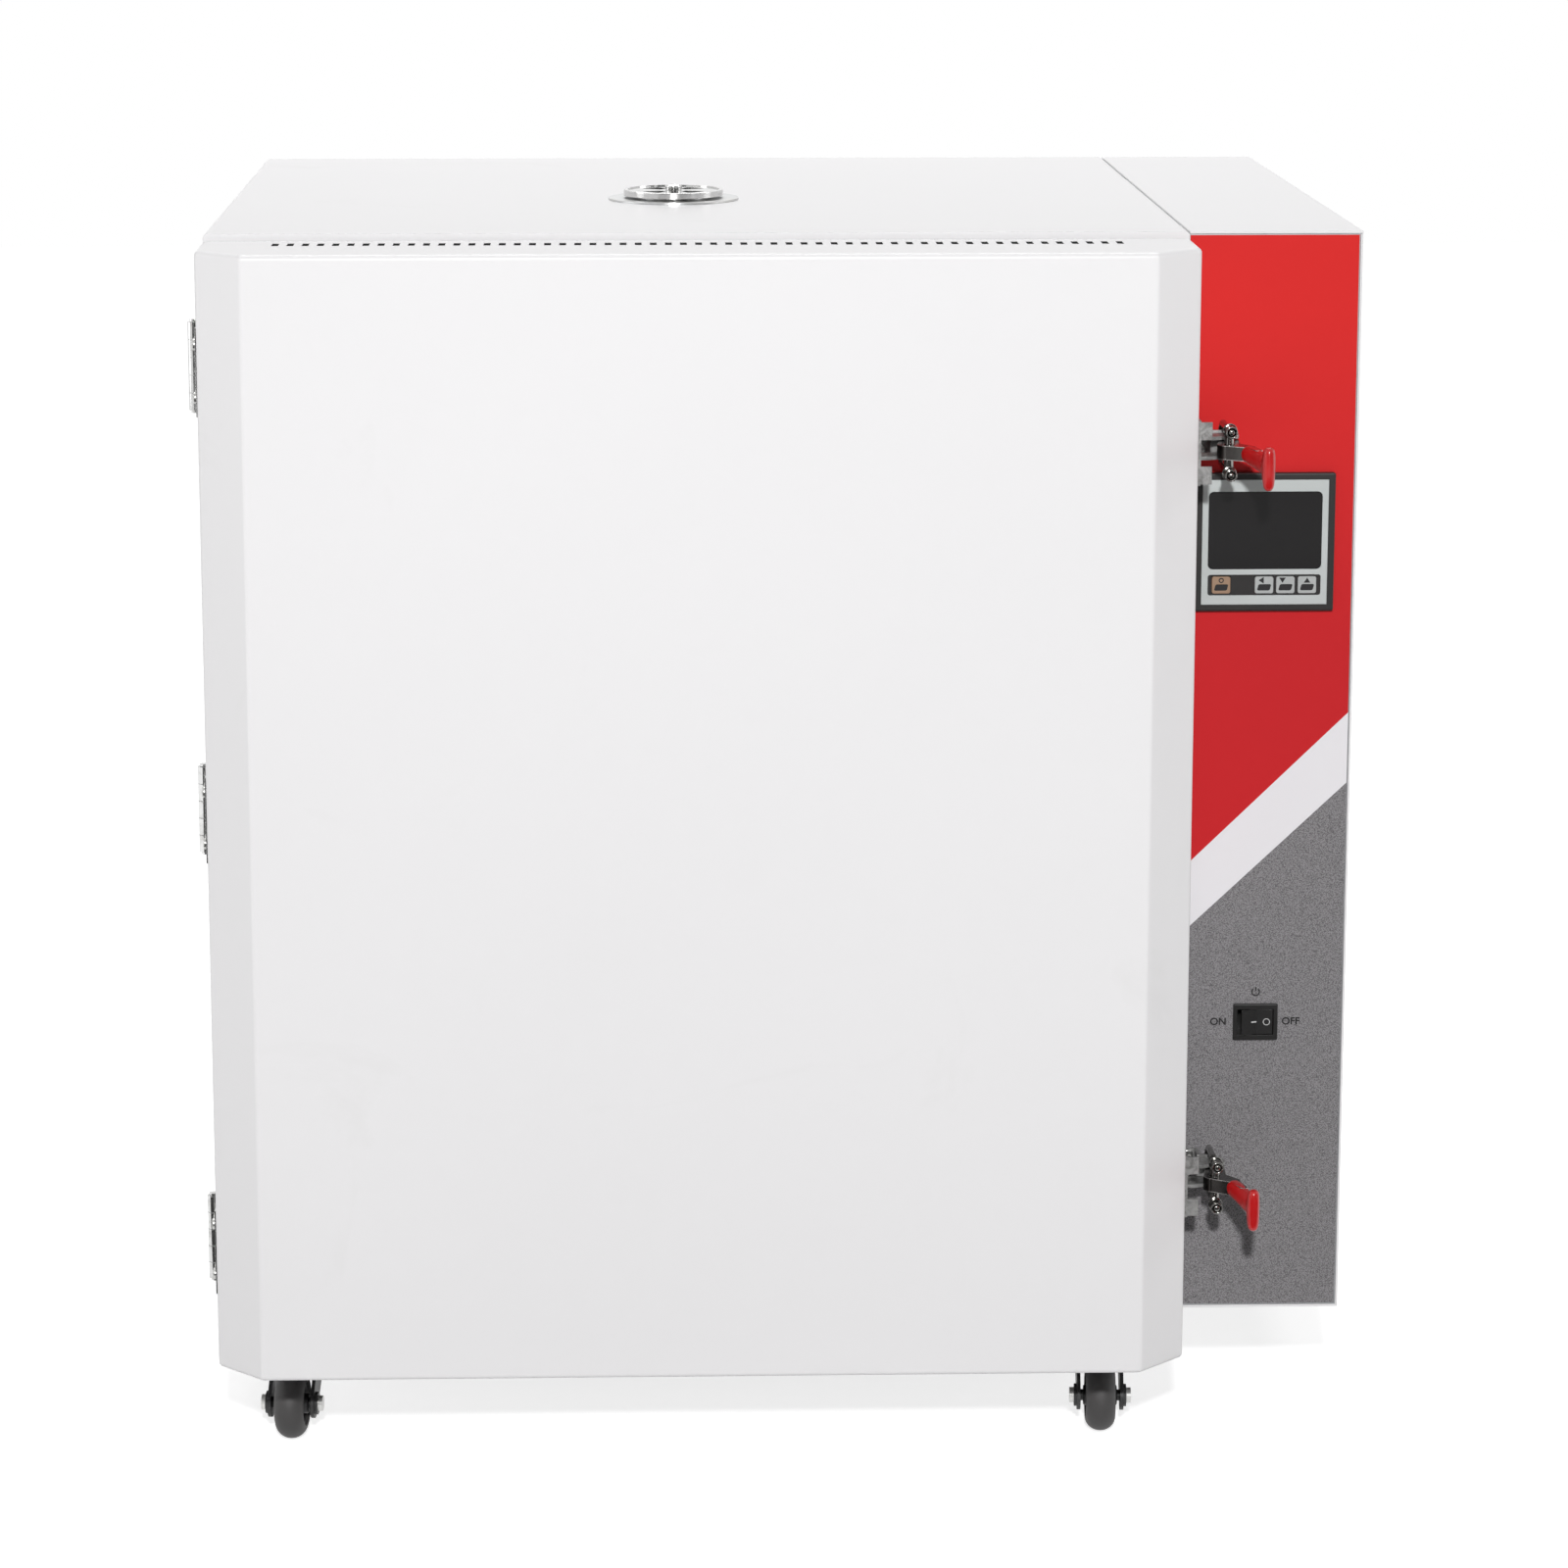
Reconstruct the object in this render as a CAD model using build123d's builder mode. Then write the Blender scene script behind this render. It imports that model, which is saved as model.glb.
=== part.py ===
# Forced-air drying oven on castors, with a control column on its right side.
# Frame: +Z up, front towards -Y, origin on the floor below the middle of the whole.
# All sizes are in millimetres.
import os
from math import cos, hypot, radians, sin

from build123d import *

os.makedirs("parts", exist_ok=True)

# Overall sizes
body_w = 668.0
body_h = 779.0
body_d = 600.0
column_w = 118.0
column_lift = 16.0
castor_h = 75.0
sheet = 1.5
fold_r = 3.0
fit = 0.3
seat_gap = 0.1
run_fit = 0.05

# Insulated walls, which leave the heated chamber inside the body
wall_side = 84.0
wall_level = 109.5
wall_rear = 97.0
wool_gap = 0.5
screw_space = 6.0
mouth_margin = 30.0
liner_flange = 40.0
rear_flange = 30.0

# Door
door_gap = 10.0
door_t = 90.0
door_chamfer = 32.0
door_under = 2.0
door_over = 4.0
door_lip = 25.0
door_edge_r = 3.5
plug_gap_x = 10.0
plug_gap_z = 15.0
plug_depth = 28.0
plug_r = 12.0
gasket_w = 17.0
gasket_gap = 3.0
slot_w = 4.5
slot_l = 17.0
slot_pitch = 10.1
slot_back = 32.0
slot_margin = 46.0
air_channel = 40.0

# Hinges
hinge_out = 6.5
barrel_r = 4.5
hinge_pin_r = 2.0
leaf_t = 3.0
leaf_h = 60.0
leaf_w = 32.5
leaf_start = 5.5
knuckles = 5
hinge_inset_top = 84.5
hinge_inset_bottom = 74.5

# Screws and bolts
screw_r = 2.0
screw_head_r = 4.0
screw_head_h = 2.5
bolt_r = 3.0
bolt_across = 10.0
bolt_head_h = 4.0

# Toggle clamps: u is measured from the column seam, v from the cabinet front,
# w from the clamp's own height
clamp_inset_top = 139.0
clamp_inset_bottom = 122.0
base_t = 2.5
base_v = (-62.0, -14.0)
base_half = 22.0
ear_w = (5.4, 7.9)
lever_w = (2.5, 4.8)
pivot_at = (26.0, -26.0)
pivot_r = 3.0
trunnion_at = (22.5, -52.0)
trunnion_r = 4.0
trunnion_half = 18.0
hook_angle = 0.0
hook_reach = 40.0
hook_front = 15.0
hook_half = 14.5
hook_rod_r = 2.3
hook_bend_r = 6.0
hook_nut_h = 5.0
hook_nut_across = 8.5
lever_web_t = 2.2
elbow_at = (34.0, -63.0)
tongue_at = (39.0, -80.0)
grip_reach = 108.0
catch_half = 9.5
catch_t = 2.5
catch_reach = 14.0
catch_lip = 25.5
catch_gap = 0.7

# Vent
vent_left = 13.5
vent_front = 7.0
vent_r = 27.0
vent_flange_r = 47.3
vent_flange_t = 1.5
vent_neck = 4.0
damper_r = 34.0
damper_t = 1.2
cap_r = 36.15
cap_wall = 1.2
cap_skirt = 2.2
cap_rim_h = 0.8
window_r = (10.0, 25.0)
window_half_angle = 20.0
vent_head_r = 6.0
vent_head_h = 3.7

# Controller and rocker switch
film_t = 0.4
film_margin = 0.7
bezel_w = 96.0
bezel_proud = 5.0
bezel_floor = 3.6
bezel_r = 1.5
housing_w = 91.4
housing_d = 75.0
cutout_w = 92.4
controller_u = 54.6
controller_drop = 213.0
faceplate_w = 86.6
faceplate_t = 1.0
window_size = (78.0, 53.7)
window_corner = 3.5
window_up = 8.2
strip_size = (77.8, 14.4)
strip_corner = 1.7
strip_down = 29.7
key_size = (12.8, 11.8)
key_corner = 1.6
key_gap = 0.2
key_proud = 1.3
key_travel = 0.5
key_places = {"set_key": -29.6, "left_key": 0.0, "down_key": 14.7, "up_key": 29.6}
rocker_u = 55.3
rocker_rise = 209.0
rocker_size = (31.3, 26.2)
rocker_proud = 2.0
rocker_body = (27.0, 21.5)
rocker_depth = 16.0
rocker_hole = (25.4, 18.5)
rocker_tilt = 8.0
rocker_pivot_depth = 4.5
rocker_pivot_r = 1.2

# Chamber fittings
duct_w = 50.0
duct_front = 36.0
runner_leg = 14.0
runner_t = 1.5
runner_front = 60.0
runner_back = 13.0
shelf_travel = 40.0
shelf_rod_r = 3.0
shelf_wire_r = 1.5
shelf_wires = 19
shelf_corner = 12.0
perforation_r = 5.0
perforation_pitch = 30.0
shaft_r = 5.0
impeller_r = 88.0
impeller_w = 34.0
impeller_blades = 16
heater_rings = {"inner": (110.0, 0.36), "outer": (130.0, 0.66)}
heater_r = 4.0
heater_gap_angle = 15.0
heater_bend_r = 12.0
heater_terminal = 14.0
probe_r = 2.5
probe_rise = 180.0
probe_front = 100.0
motor_r = 45.0
motor_l = 80.0
motor_plate = 110.0
motor_plate_t = 4.0

# Electrical pieces in the column
relay_rise = 170.0
terminal_drop = 200.0
tray_back = 170.0
gland_reach = 20.0
gland_bore = 5.5
gland_rise = 110.0

# Castors
wheel_r = 25.0
wheel_half = 11.0
wheel_edge_r = 9.0
axle_r = 4.0
axle_boss = 2.0
axle_head = 3.2
castor_trail = 28.0
castor_plate = (60.0, 55.0)
castor_plate_t = 2.5
castor_inset_x = 48.0
castor_inset_front = 32.0
castor_inset_rear = 60.0
castor_bolt_at = (23.0, 20.0)
fork_t = 2.5
fork_half = 16.5
king_r = 6.0
crown_r = 16.0
castor_turns = {"front_left": -6.0, "front_right": -3.0, "rear_left": 80.0, "rear_right": -65.0}

# Places worked out from the sizes
total_w = hinge_out + barrel_r + body_w + column_w + screw_head_h
body_left = hinge_out + barrel_r - total_w / 2
seam_x = body_left + body_w
body_mid = (body_left + seam_x) / 2
column_right = seam_x + column_w
column_mid = (seam_x + column_right) / 2
total_d = grip_reach + body_d + gland_reach
front_y = grip_reach - total_d / 2
rear_y = front_y + body_d
case_bottom = castor_h
case_top = castor_h + body_h
column_bottom = case_bottom + column_lift

chamber_x = (body_left + wall_side, seam_x - wall_side)
chamber_y = (front_y + 2 * sheet, rear_y - wall_rear)
chamber_z = (case_bottom + wall_level, case_top - wall_level)
chamber_mid_z = sum(chamber_z) / 2
fan_y = sum(chamber_y) / 2
fan_z = chamber_mid_z
panel_x = chamber_x[1] - duct_w

door_back = front_y - door_gap
door_front = door_back - door_t
door_z = (case_bottom + door_under, case_top - door_over)

hinge_x = body_left - hinge_out
hinge_y = front_y - door_gap / 2
hinge_ends = (door_z[1] - hinge_inset_top, door_z[0] + hinge_inset_bottom)
hinge_zs = (hinge_ends[0], sum(hinge_ends) / 2, hinge_ends[1])
clamp_zs = {"upper": door_z[1] - clamp_inset_top, "lower": door_z[0] + clamp_inset_bottom}

vent_x = body_mid - vent_left
vent_y = fan_y - vent_front
controller_x = seam_x + controller_u
controller_z = case_top - controller_drop
rocker_x = seam_x + rocker_u
rocker_z = column_bottom + rocker_rise
gland_z = column_bottom + gland_rise

panel_front = front_y + film_t
panel_back = panel_front + sheet
turns = {"x": (0, 90, 0), "y": (90, 0, 0), "z": (0, 0, 0)}
to_left = (-1, 0, 0)
to_right = (1, 0, 0)
to_front = (0, -1, 0)
to_rear = (0, 1, 0)


def grow(span, amount):
    return (span[0] - amount, span[1] + amount)


def about(middle, width):
    return (middle - width / 2, middle + width / 2)


def block(x_span, y_span, z_span, mode=Mode.ADD):
    spans = (x_span, y_span, z_span)
    with Locations(tuple(sum(span) / 2 for span in spans)):
        Box(*(abs(span[1] - span[0]) for span in spans), mode=mode)


def rod(centre, radius, length, along="z", mode=Mode.ADD):
    with Locations(centre):
        Cylinder(radius, length, rotation=turns[along], mode=mode)


def limb(start, start_r, end, end_r):
    # A tapered bar with round ends, in the sketch that is open
    run = hypot(end[0] - start[0], end[1] - start[1])
    side = ((start[1] - end[1]) / run, (end[0] - start[0]) / run)
    Polygon(
        (start[0] + side[0] * start_r, start[1] + side[1] * start_r),
        (end[0] + side[0] * end_r, end[1] + side[1] * end_r),
        (end[0] - side[0] * end_r, end[1] - side[1] * end_r),
        (start[0] - side[0] * start_r, start[1] - side[1] * start_r),
    )
    with Locations(start):
        Circle(start_r)
    with Locations(end):
        Circle(end_r)


def save(piece, name):
    piece.part.label = name
    export_step(piece.part, f"parts/{name}.step")


# Screws

def pan_screw(shank_l):
    # Pan head with a cross recess; the seat under the head is at the origin
    with BuildPart() as screw:
        Cylinder(screw_head_r, screw_head_h, align=(Align.CENTER, Align.CENTER, Align.MIN))
        fillet(screw.edges().sort_by(Axis.Z)[-1], 0.4 * screw_head_h)
        with Locations((0, 0, screw_head_h)):
            Box(1.2 * screw_head_r, 0.25 * screw_head_r, screw_head_h, mode=Mode.SUBTRACT)
            Box(0.25 * screw_head_r, 1.2 * screw_head_r, screw_head_h, mode=Mode.SUBTRACT)
        with Locations((0, 0, -shank_l / 2)):
            Cylinder(screw_r, shank_l)
    return screw.part


def hex_bolt(shank_l):
    with BuildPart() as bolt:
        with BuildSketch():
            RegularPolygon(bolt_across / 2, 6, major_radius=False)
        extrude(amount=bolt_head_h)
        with Locations((0, 0, -shank_l / 2)):
            Cylinder(bolt_r, shank_l)
    return bolt.part


def set_fasteners(fastener, seats, outward):
    with Locations(*(Plane(origin=seat, z_dir=outward).location for seat in seats)):
        add(fastener)


def drill(seats, outward, radius, depth):
    # Clearance holes, as deep on both sides of the seats
    with Locations(*(Plane(origin=seat, z_dir=outward).location for seat in seats)):
        Cylinder(radius, 2 * depth, mode=Mode.SUBTRACT)


wall_screw = pan_screw(leaf_t + sheet + screw_space - 2 * wool_gap)
cover_screw = pan_screw(3 * sheet + wool_gap)
screw_hole = screw_r + seat_gap
screw_rows = (10.0, 23.0)
screw_rise = 18.0


def leaf_screw_seats(toward):
    # toward is 1 for the cabinet leaves and -1 for the door leaves
    return [
        (body_left - leaf_t, hinge_y + toward * (leaf_start + row), z + rise)
        for z in hinge_zs
        for row in screw_rows
        for rise in (-screw_rise, screw_rise)
    ]


def base_screw_seats():
    return [
        (seam_x + base_t, front_y + v, z + w)
        for z in clamp_zs.values()
        for v in (base_v[0] + 8, base_v[1] - 8)
        for w in (-(base_half - 6), base_half - 6)
    ]


catch_screw_seats = [
    (seam_x + 9.0, front_y - catch_t, z + w) for z in clamp_zs.values() for w in (-5.5, 5.5)
]
motor_screw_seats = [
    (seam_x + motor_plate_t, fan_y + y, fan_z + z)
    for y in (-motor_plate / 2 + 8, motor_plate / 2 - 8)
    for z in (-motor_plate / 2 + 8, motor_plate / 2 - 8)
]
rear_screw_x = (body_left + sheet + rear_flange / 2, body_mid, seam_x - sheet - rear_flange / 2)
rear_screw_z = (case_bottom + sheet + rear_flange / 2, chamber_mid_z, case_top - sheet - rear_flange / 2)
rear_screw_seats = [
    (x, rear_y, z) for x in rear_screw_x for z in rear_screw_z if (x, z) != (body_mid, chamber_mid_z)
]
side_flange = 18.0
side_screw_seats = [
    (column_right, y, z)
    for y in (front_y + 60, (front_y + rear_y) / 2, rear_y - 60)
    for z in (column_bottom + sheet + side_flange / 2, case_top - sheet - side_flange / 2)
]


# Heated body

def heater_leg(ring_r, side):
    # Middle of the straight leg, past the bend that leaves the ring's end
    half_gap = radians(heater_gap_angle)
    leg_y = ring_r * sin(half_gap) - heater_bend_r * cos(half_gap)
    leg_z = ring_r * cos(half_gap) + heater_bend_r * sin(half_gap)
    return (fan_y + side * leg_y, fan_z - leg_z)


heater_legs = [heater_leg(ring_r, side) for ring_r, _ in heater_rings.values() for side in (-1, 1)]
probe_y = fan_y - probe_front
probe_z = fan_z + probe_rise


def drill_services(x_span):
    # The fan shaft, heater legs and probe pass through every layer of the right wall
    middle = sum(x_span) / 2
    length = x_span[1] - x_span[0] + 2 * fit
    rod((middle, fan_y, fan_z), shaft_r + 3, length, "x", Mode.SUBTRACT)
    rod((middle, probe_y, probe_z), probe_r + fit, length, "x", Mode.SUBTRACT)
    for leg_y, leg_z in heater_legs:
        rod((middle, leg_y, leg_z), heater_r + fit, length, "x", Mode.SUBTRACT)


inner_x = (body_left + sheet, seam_x - sheet)
inner_z = (case_bottom + sheet, case_top - sheet)
with BuildPart() as outer_case:
    block((body_left, seam_x), (front_y, rear_y), (case_bottom, case_top))
    fillet(outer_case.edges().filter_by(Axis.Y), fold_r)
    block(inner_x, (front_y + sheet, rear_y - 2 * sheet), inner_z, Mode.SUBTRACT)
    block(
        grow(chamber_x, mouth_margin), (front_y, front_y + sheet), grow(chamber_z, mouth_margin),
        Mode.SUBTRACT,
    )
    block(
        grow(inner_x, -rear_flange), (rear_y - 2 * sheet, rear_y - sheet), grow(inner_z, -rear_flange),
        Mode.SUBTRACT,
    )
    block(inner_x, (rear_y - sheet, rear_y), inner_z, Mode.SUBTRACT)
    rod((vent_x, vent_y, case_top), vent_r + fit, 4 * sheet, "z", Mode.SUBTRACT)
    drill_services((seam_x - sheet, seam_x))
    drill(leaf_screw_seats(1), to_left, screw_hole, leaf_t + 2 * sheet)
    drill(motor_screw_seats, to_right, screw_hole, motor_plate_t + 2 * sheet)
    drill(rear_screw_seats, to_rear, screw_hole, 3 * sheet)
    castor_xs = (body_left + castor_inset_x, seam_x - castor_inset_x)
    castor_ys = (front_y + castor_inset_front, rear_y - castor_inset_rear)
    castor_bolt_seats = [
        (x + dx, y + dy, case_bottom - castor_plate_t)
        for x in castor_xs
        for y in castor_ys
        for dx in (-castor_bolt_at[0], castor_bolt_at[0])
        for dy in (-castor_bolt_at[1], castor_bolt_at[1])
    ]
    drill(castor_bolt_seats, (0, 0, -1), bolt_r + seat_gap, castor_plate_t + 2 * sheet)
save(outer_case, "outer_case")

with BuildPart() as rear_panel:
    block(grow(inner_x, -fit), (rear_y - sheet, rear_y), grow(inner_z, -fit))
    drill(rear_screw_seats, to_rear, screw_hole, 2 * sheet)
save(rear_panel, "rear_panel")

liner_x = grow(chamber_x, sheet)
liner_z = grow(chamber_z, sheet)
liner_rear = chamber_y[1] + sheet
with BuildPart() as chamber_liner:
    block(liner_x, (front_y + sheet, liner_rear), liner_z)
    block(
        grow(chamber_x, liner_flange), (front_y + sheet, front_y + 2 * sheet),
        grow(chamber_z, liner_flange),
    )
    block(chamber_x, (front_y + sheet, chamber_y[1]), chamber_z, Mode.SUBTRACT)
    rod((vent_x, vent_y, chamber_z[1]), vent_r + fit, 4 * sheet, "z", Mode.SUBTRACT)
    drill_services((chamber_x[1], liner_x[1]))
save(chamber_liner, "chamber_liner")

wool_x = grow(inner_x, -screw_space)
wool_y = (chamber_y[0] + wool_gap, rear_y - 2 * sheet - screw_space)
wool_z = grow(inner_z, -screw_space)
wool_inner_x = grow(liner_x, wool_gap)
wool_inner_z = grow(liner_z, wool_gap)
side_wool_z = grow(wool_inner_z, -wool_gap / 2)
rear_wool_x = grow(wool_inner_x, -wool_gap / 2)
with BuildPart() as insulation:
    block(wool_x, wool_y, (wool_inner_z[1], wool_z[1]))
    block(wool_x, wool_y, (wool_z[0], wool_inner_z[0]))
    block((wool_x[0], wool_inner_x[0]), wool_y, side_wool_z)
    block((wool_inner_x[1], wool_x[1]), wool_y, side_wool_z)
    block(rear_wool_x, (liner_rear + wool_gap, wool_y[1]), side_wool_z)
    rod((vent_x, vent_y, case_top - wall_level / 2), vent_r + wool_gap, wall_level, "z", Mode.SUBTRACT)
    drill_services((wool_inner_x[1], wool_x[1]))
save(insulation, "insulation")

# Perforated duct panel, with a front return that closes the duct beside the mouth
duct_x = (panel_x - sheet, panel_x)
duct_y = (front_y + duct_front, chamber_y[1] - fit)
duct_z = grow(chamber_z, -fit)
band_rows = int((chamber_z[1] - chamber_z[0] - 2 * perforation_pitch) / perforation_pitch)
with BuildPart() as duct_panel:
    block(duct_x, duct_y, duct_z)
    block((duct_x[0], chamber_x[1] - fit), (duct_y[0], duct_y[0] + sheet), duct_z)
    for band_y in (duct_y[0] + 70, duct_y[1] - 70):
        with BuildSketch(Plane(origin=(duct_x[0], band_y, fan_z), x_dir=to_rear, z_dir=to_right)):
            with GridLocations(perforation_pitch, perforation_pitch, 3, band_rows):
                Circle(perforation_r)
        extrude(amount=sheet, mode=Mode.SUBTRACT)
    with BuildSketch(Plane(origin=(duct_x[0], fan_y, fan_z), x_dir=to_rear, z_dir=to_right)):
        Circle(perforation_r)
        for ring in (1, 2, 3):
            with PolarLocations(16 * ring, 6 * ring):
                Circle(perforation_r)
    extrude(amount=sheet, mode=Mode.SUBTRACT)
    rod((panel_x, probe_y, probe_z), probe_r + fit, 4 * sheet, "x", Mode.SUBTRACT)
save(duct_panel, "duct_panel")

shelf_zs = {
    "upper": chamber_z[0] + (chamber_z[1] - chamber_z[0]) * 2 / 3,
    "lower": chamber_z[0] + (chamber_z[1] - chamber_z[0]) / 3,
}
runner_y = (front_y + runner_front, chamber_y[1] - runner_back)
with BuildPart() as shelf_runners:
    for z in shelf_zs.values():
        for wall_x, inward in ((chamber_x[0], 1), (duct_x[0], -1)):
            block(sorted((wall_x, wall_x + inward * runner_t)), runner_y, (z - runner_leg, z))
            block(sorted((wall_x, wall_x + inward * runner_leg)), runner_y, (z - runner_t, z))
save(shelf_runners, "shelf_runners")


def wire_shelf(z):
    # The shelf lies on its runners and stays clear of the door plug at full travel
    x_span = grow((chamber_x[0], duct_x[0]), -3 * fit - runner_t - shelf_rod_r)
    y_span = (
        front_y + plug_depth + shelf_travel + 8 * fit + shelf_rod_r,
        chamber_y[1] - runner_back - shelf_rod_r,
    )
    rod_z = z + fit + shelf_rod_r
    wire_z = rod_z + 0.75 * shelf_rod_r
    corners = [(x_span[0], y_span[0]), (x_span[1], y_span[0])]
    corners += [(x_span[1], y_span[1]), (x_span[0], y_span[1])]
    with BuildPart() as shelf:
        with BuildLine(Plane.XY.offset(rod_z)) as rim:
            FilletPolyline(*corners, radius=shelf_corner, close=True)
        rim_start = rim.edges().filter_by(GeomType.LINE)[0]
        with BuildSketch(Plane(origin=rim_start @ 0, z_dir=rim_start % 0)):
            Circle(shelf_rod_r)
        sweep(path=rim.wires()[0])
        pitch = (x_span[1] - x_span[0]) / (shelf_wires + 1)
        for number in range(shelf_wires):
            wire_x = x_span[0] + pitch * (number + 1)
            rod((wire_x, sum(y_span) / 2, wire_z), shelf_wire_r, y_span[1] - y_span[0], "y")
        for share in (1 / 3, 2 / 3):
            bar_y = y_span[0] + (y_span[1] - y_span[0]) * share
            rod((sum(x_span) / 2, bar_y, rod_z), shelf_rod_r - 0.5, x_span[1] - x_span[0], "x")
    return shelf


for name, z in shelf_zs.items():
    save(wire_shelf(z), f"{name}_shelf")

with BuildPart() as heater_elements:
    half_gap = radians(heater_gap_angle)
    for ring_r, depth_share in heater_rings.values():
        ring_x = panel_x + depth_share * duct_w
        terminal_x = seam_x + heater_terminal
        bend_x = ring_x + heater_bend_r
        first_leg = heater_leg(ring_r, -1)
        last_leg = heater_leg(ring_r, 1)
        end_y = ring_r * sin(half_gap)
        end_z = fan_z - ring_r * cos(half_gap)
        first = (ring_x, fan_y - end_y, end_z)
        last = (ring_x, fan_y + end_y, end_z)
        with BuildLine() as tube:
            Line((terminal_x, *first_leg), (bend_x, *first_leg))
            TangentArc((bend_x, *first_leg), first, tangent=to_left)
            ThreePointArc(first, (ring_x, fan_y, fan_z + ring_r), last)
            TangentArc(last, (bend_x, *last_leg), tangent=(0, -cos(half_gap), -sin(half_gap)))
            Line((bend_x, *last_leg), (terminal_x, *last_leg))
        with BuildSketch(Plane(origin=(terminal_x, *first_leg), z_dir=to_left)):
            Circle(heater_r)
        sweep(path=tube.wires()[0])
save(heater_elements, "heater_elements")

with BuildPart() as temperature_probe:
    probe_span = (panel_x - 30, seam_x + 10)
    rod((sum(probe_span) / 2, probe_y, probe_z), probe_r, probe_span[1] - probe_span[0], "x")
    with BuildSketch(Plane(origin=(seam_x, probe_y, probe_z), x_dir=to_rear, z_dir=to_right)):
        RegularPolygon(7, 6, major_radius=False)
    extrude(amount=8)
save(temperature_probe, "temperature_probe")

motor_x = (seam_x + motor_plate_t, seam_x + motor_plate_t + motor_l)
with BuildPart() as fan_motor:
    block(
        (seam_x, motor_x[0]), about(fan_y, motor_plate), about(fan_z, motor_plate),
    )
    rod((sum(motor_x) / 2, fan_y, fan_z), motor_r, motor_l, "x")
    fillet(fan_motor.edges().filter_by(GeomType.CIRCLE).sort_by(Axis.X)[-1], 5)
    for share in (0.25, 0.4, 0.55, 0.7):
        with Locations((motor_x[0] + share * motor_l, fan_y, fan_z)):
            Cylinder(motor_r + 3, 3, rotation=turns["x"])
    rod((motor_x[1] + 3, fan_y, fan_z), 3 * shaft_r, 6, "x")
    shaft_end = seam_x + motor_l * 0.7
    rod(((seam_x + shaft_end) / 2, fan_y, fan_z), shaft_r + run_fit, shaft_end - seam_x, "x", Mode.SUBTRACT)
    drill(motor_screw_seats, to_right, screw_hole, motor_plate_t + sheet)
save(fan_motor, "fan_motor")

impeller_x = (panel_x + 8, panel_x + 8 + impeller_w)
with BuildPart() as fan_impeller:
    rod((impeller_x[1] - sheet / 2, fan_y, fan_z), impeller_r, sheet, "x")
    rod((impeller_x[0] + sheet / 2, fan_y, fan_z), impeller_r, sheet, "x")
    rod((impeller_x[0] + sheet / 2, fan_y, fan_z), impeller_r - 30, sheet, "x", Mode.SUBTRACT)
    for number in range(impeller_blades):
        turn = 360 * number / impeller_blades
        blade_r = impeller_r - 15
        blade_at = (
            sum(impeller_x) / 2,
            fan_y + blade_r * cos(radians(turn)),
            fan_z + blade_r * sin(radians(turn)),
        )
        with Locations(Location(blade_at, (turn, 0, 0))):
            Box(impeller_w, 28, sheet)
    rod((impeller_x[1] - 12, fan_y, fan_z), 3 * shaft_r, 24, "x")
    rod((sum(impeller_x) / 2, fan_y, fan_z), shaft_r + run_fit, 2 * impeller_w, "x", Mode.SUBTRACT)
    shaft_span = (impeller_x[0] + 6, shaft_end - 1)
    rod((sum(shaft_span) / 2, fan_y, fan_z), shaft_r, shaft_span[1] - shaft_span[0], "x")
save(fan_impeller, "fan_impeller")


# Vent: exhaust pipe with a fixed damper plate, and a turning cap over it

def vent_plane(rise):
    return Plane(origin=(vent_x, vent_y, case_top + rise))


def windows():
    # Four openings, each less than an eighth of a turn wide
    reach = 2 * window_r[1]
    half = radians(window_half_angle)
    with PolarLocations(0, 4, start_angle=45):
        Polygon((0, 0), (reach * cos(half), -reach * sin(half)), (reach * cos(half), reach * sin(half)))
    Circle(window_r[1], mode=Mode.INTERSECT)
    Circle(window_r[0], mode=Mode.SUBTRACT)


damper_top = vent_neck + damper_t
cap_bottom = damper_top + fit
cap_top = cap_bottom + cap_wall
with BuildPart() as vent_pipe:
    with BuildSketch(Plane(origin=(vent_x, vent_y, chamber_z[1]))):
        Circle(vent_r)
    extrude(amount=case_top + vent_neck - chamber_z[1])
    with BuildSketch(vent_plane(0)):
        Circle(vent_flange_r)
    extrude(amount=vent_flange_t)
    with BuildSketch(vent_plane(vent_neck)):
        Circle(damper_r)
    extrude(amount=damper_t)
    with BuildSketch(Plane(origin=(vent_x, vent_y, chamber_z[1]))):
        Circle(vent_r - sheet)
    extrude(amount=case_top + vent_neck - chamber_z[1], mode=Mode.SUBTRACT)
    with BuildSketch(vent_plane(vent_neck)):
        windows()
    extrude(amount=damper_t, mode=Mode.SUBTRACT)
    with BuildSketch(vent_plane(vent_neck)):
        Circle(bolt_r + run_fit)
    extrude(amount=damper_t, mode=Mode.SUBTRACT)
save(vent_pipe, "vent_pipe")

with BuildPart() as vent_disc:
    with BuildSketch(vent_plane(cap_bottom - cap_skirt)):
        Circle(cap_r)
    extrude(amount=cap_top + cap_rim_h - cap_bottom + cap_skirt)
    fillet(vent_disc.edges().sort_by(Axis.Z)[-1], 0.6)
    with BuildSketch(vent_plane(cap_bottom - cap_skirt)):
        Circle(cap_r - cap_wall)
    extrude(amount=cap_skirt, mode=Mode.SUBTRACT)
    with BuildSketch(vent_plane(cap_top)):
        Circle(cap_r - 3)
    extrude(amount=cap_rim_h, mode=Mode.SUBTRACT)
    with BuildSketch(vent_plane(cap_bottom)):
        windows()
    extrude(amount=cap_wall, mode=Mode.SUBTRACT)
    with BuildSketch(vent_plane(cap_bottom)):
        Circle(bolt_r + run_fit)
    extrude(amount=cap_wall, mode=Mode.SUBTRACT)
save(vent_disc, "vent_disc")

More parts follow.
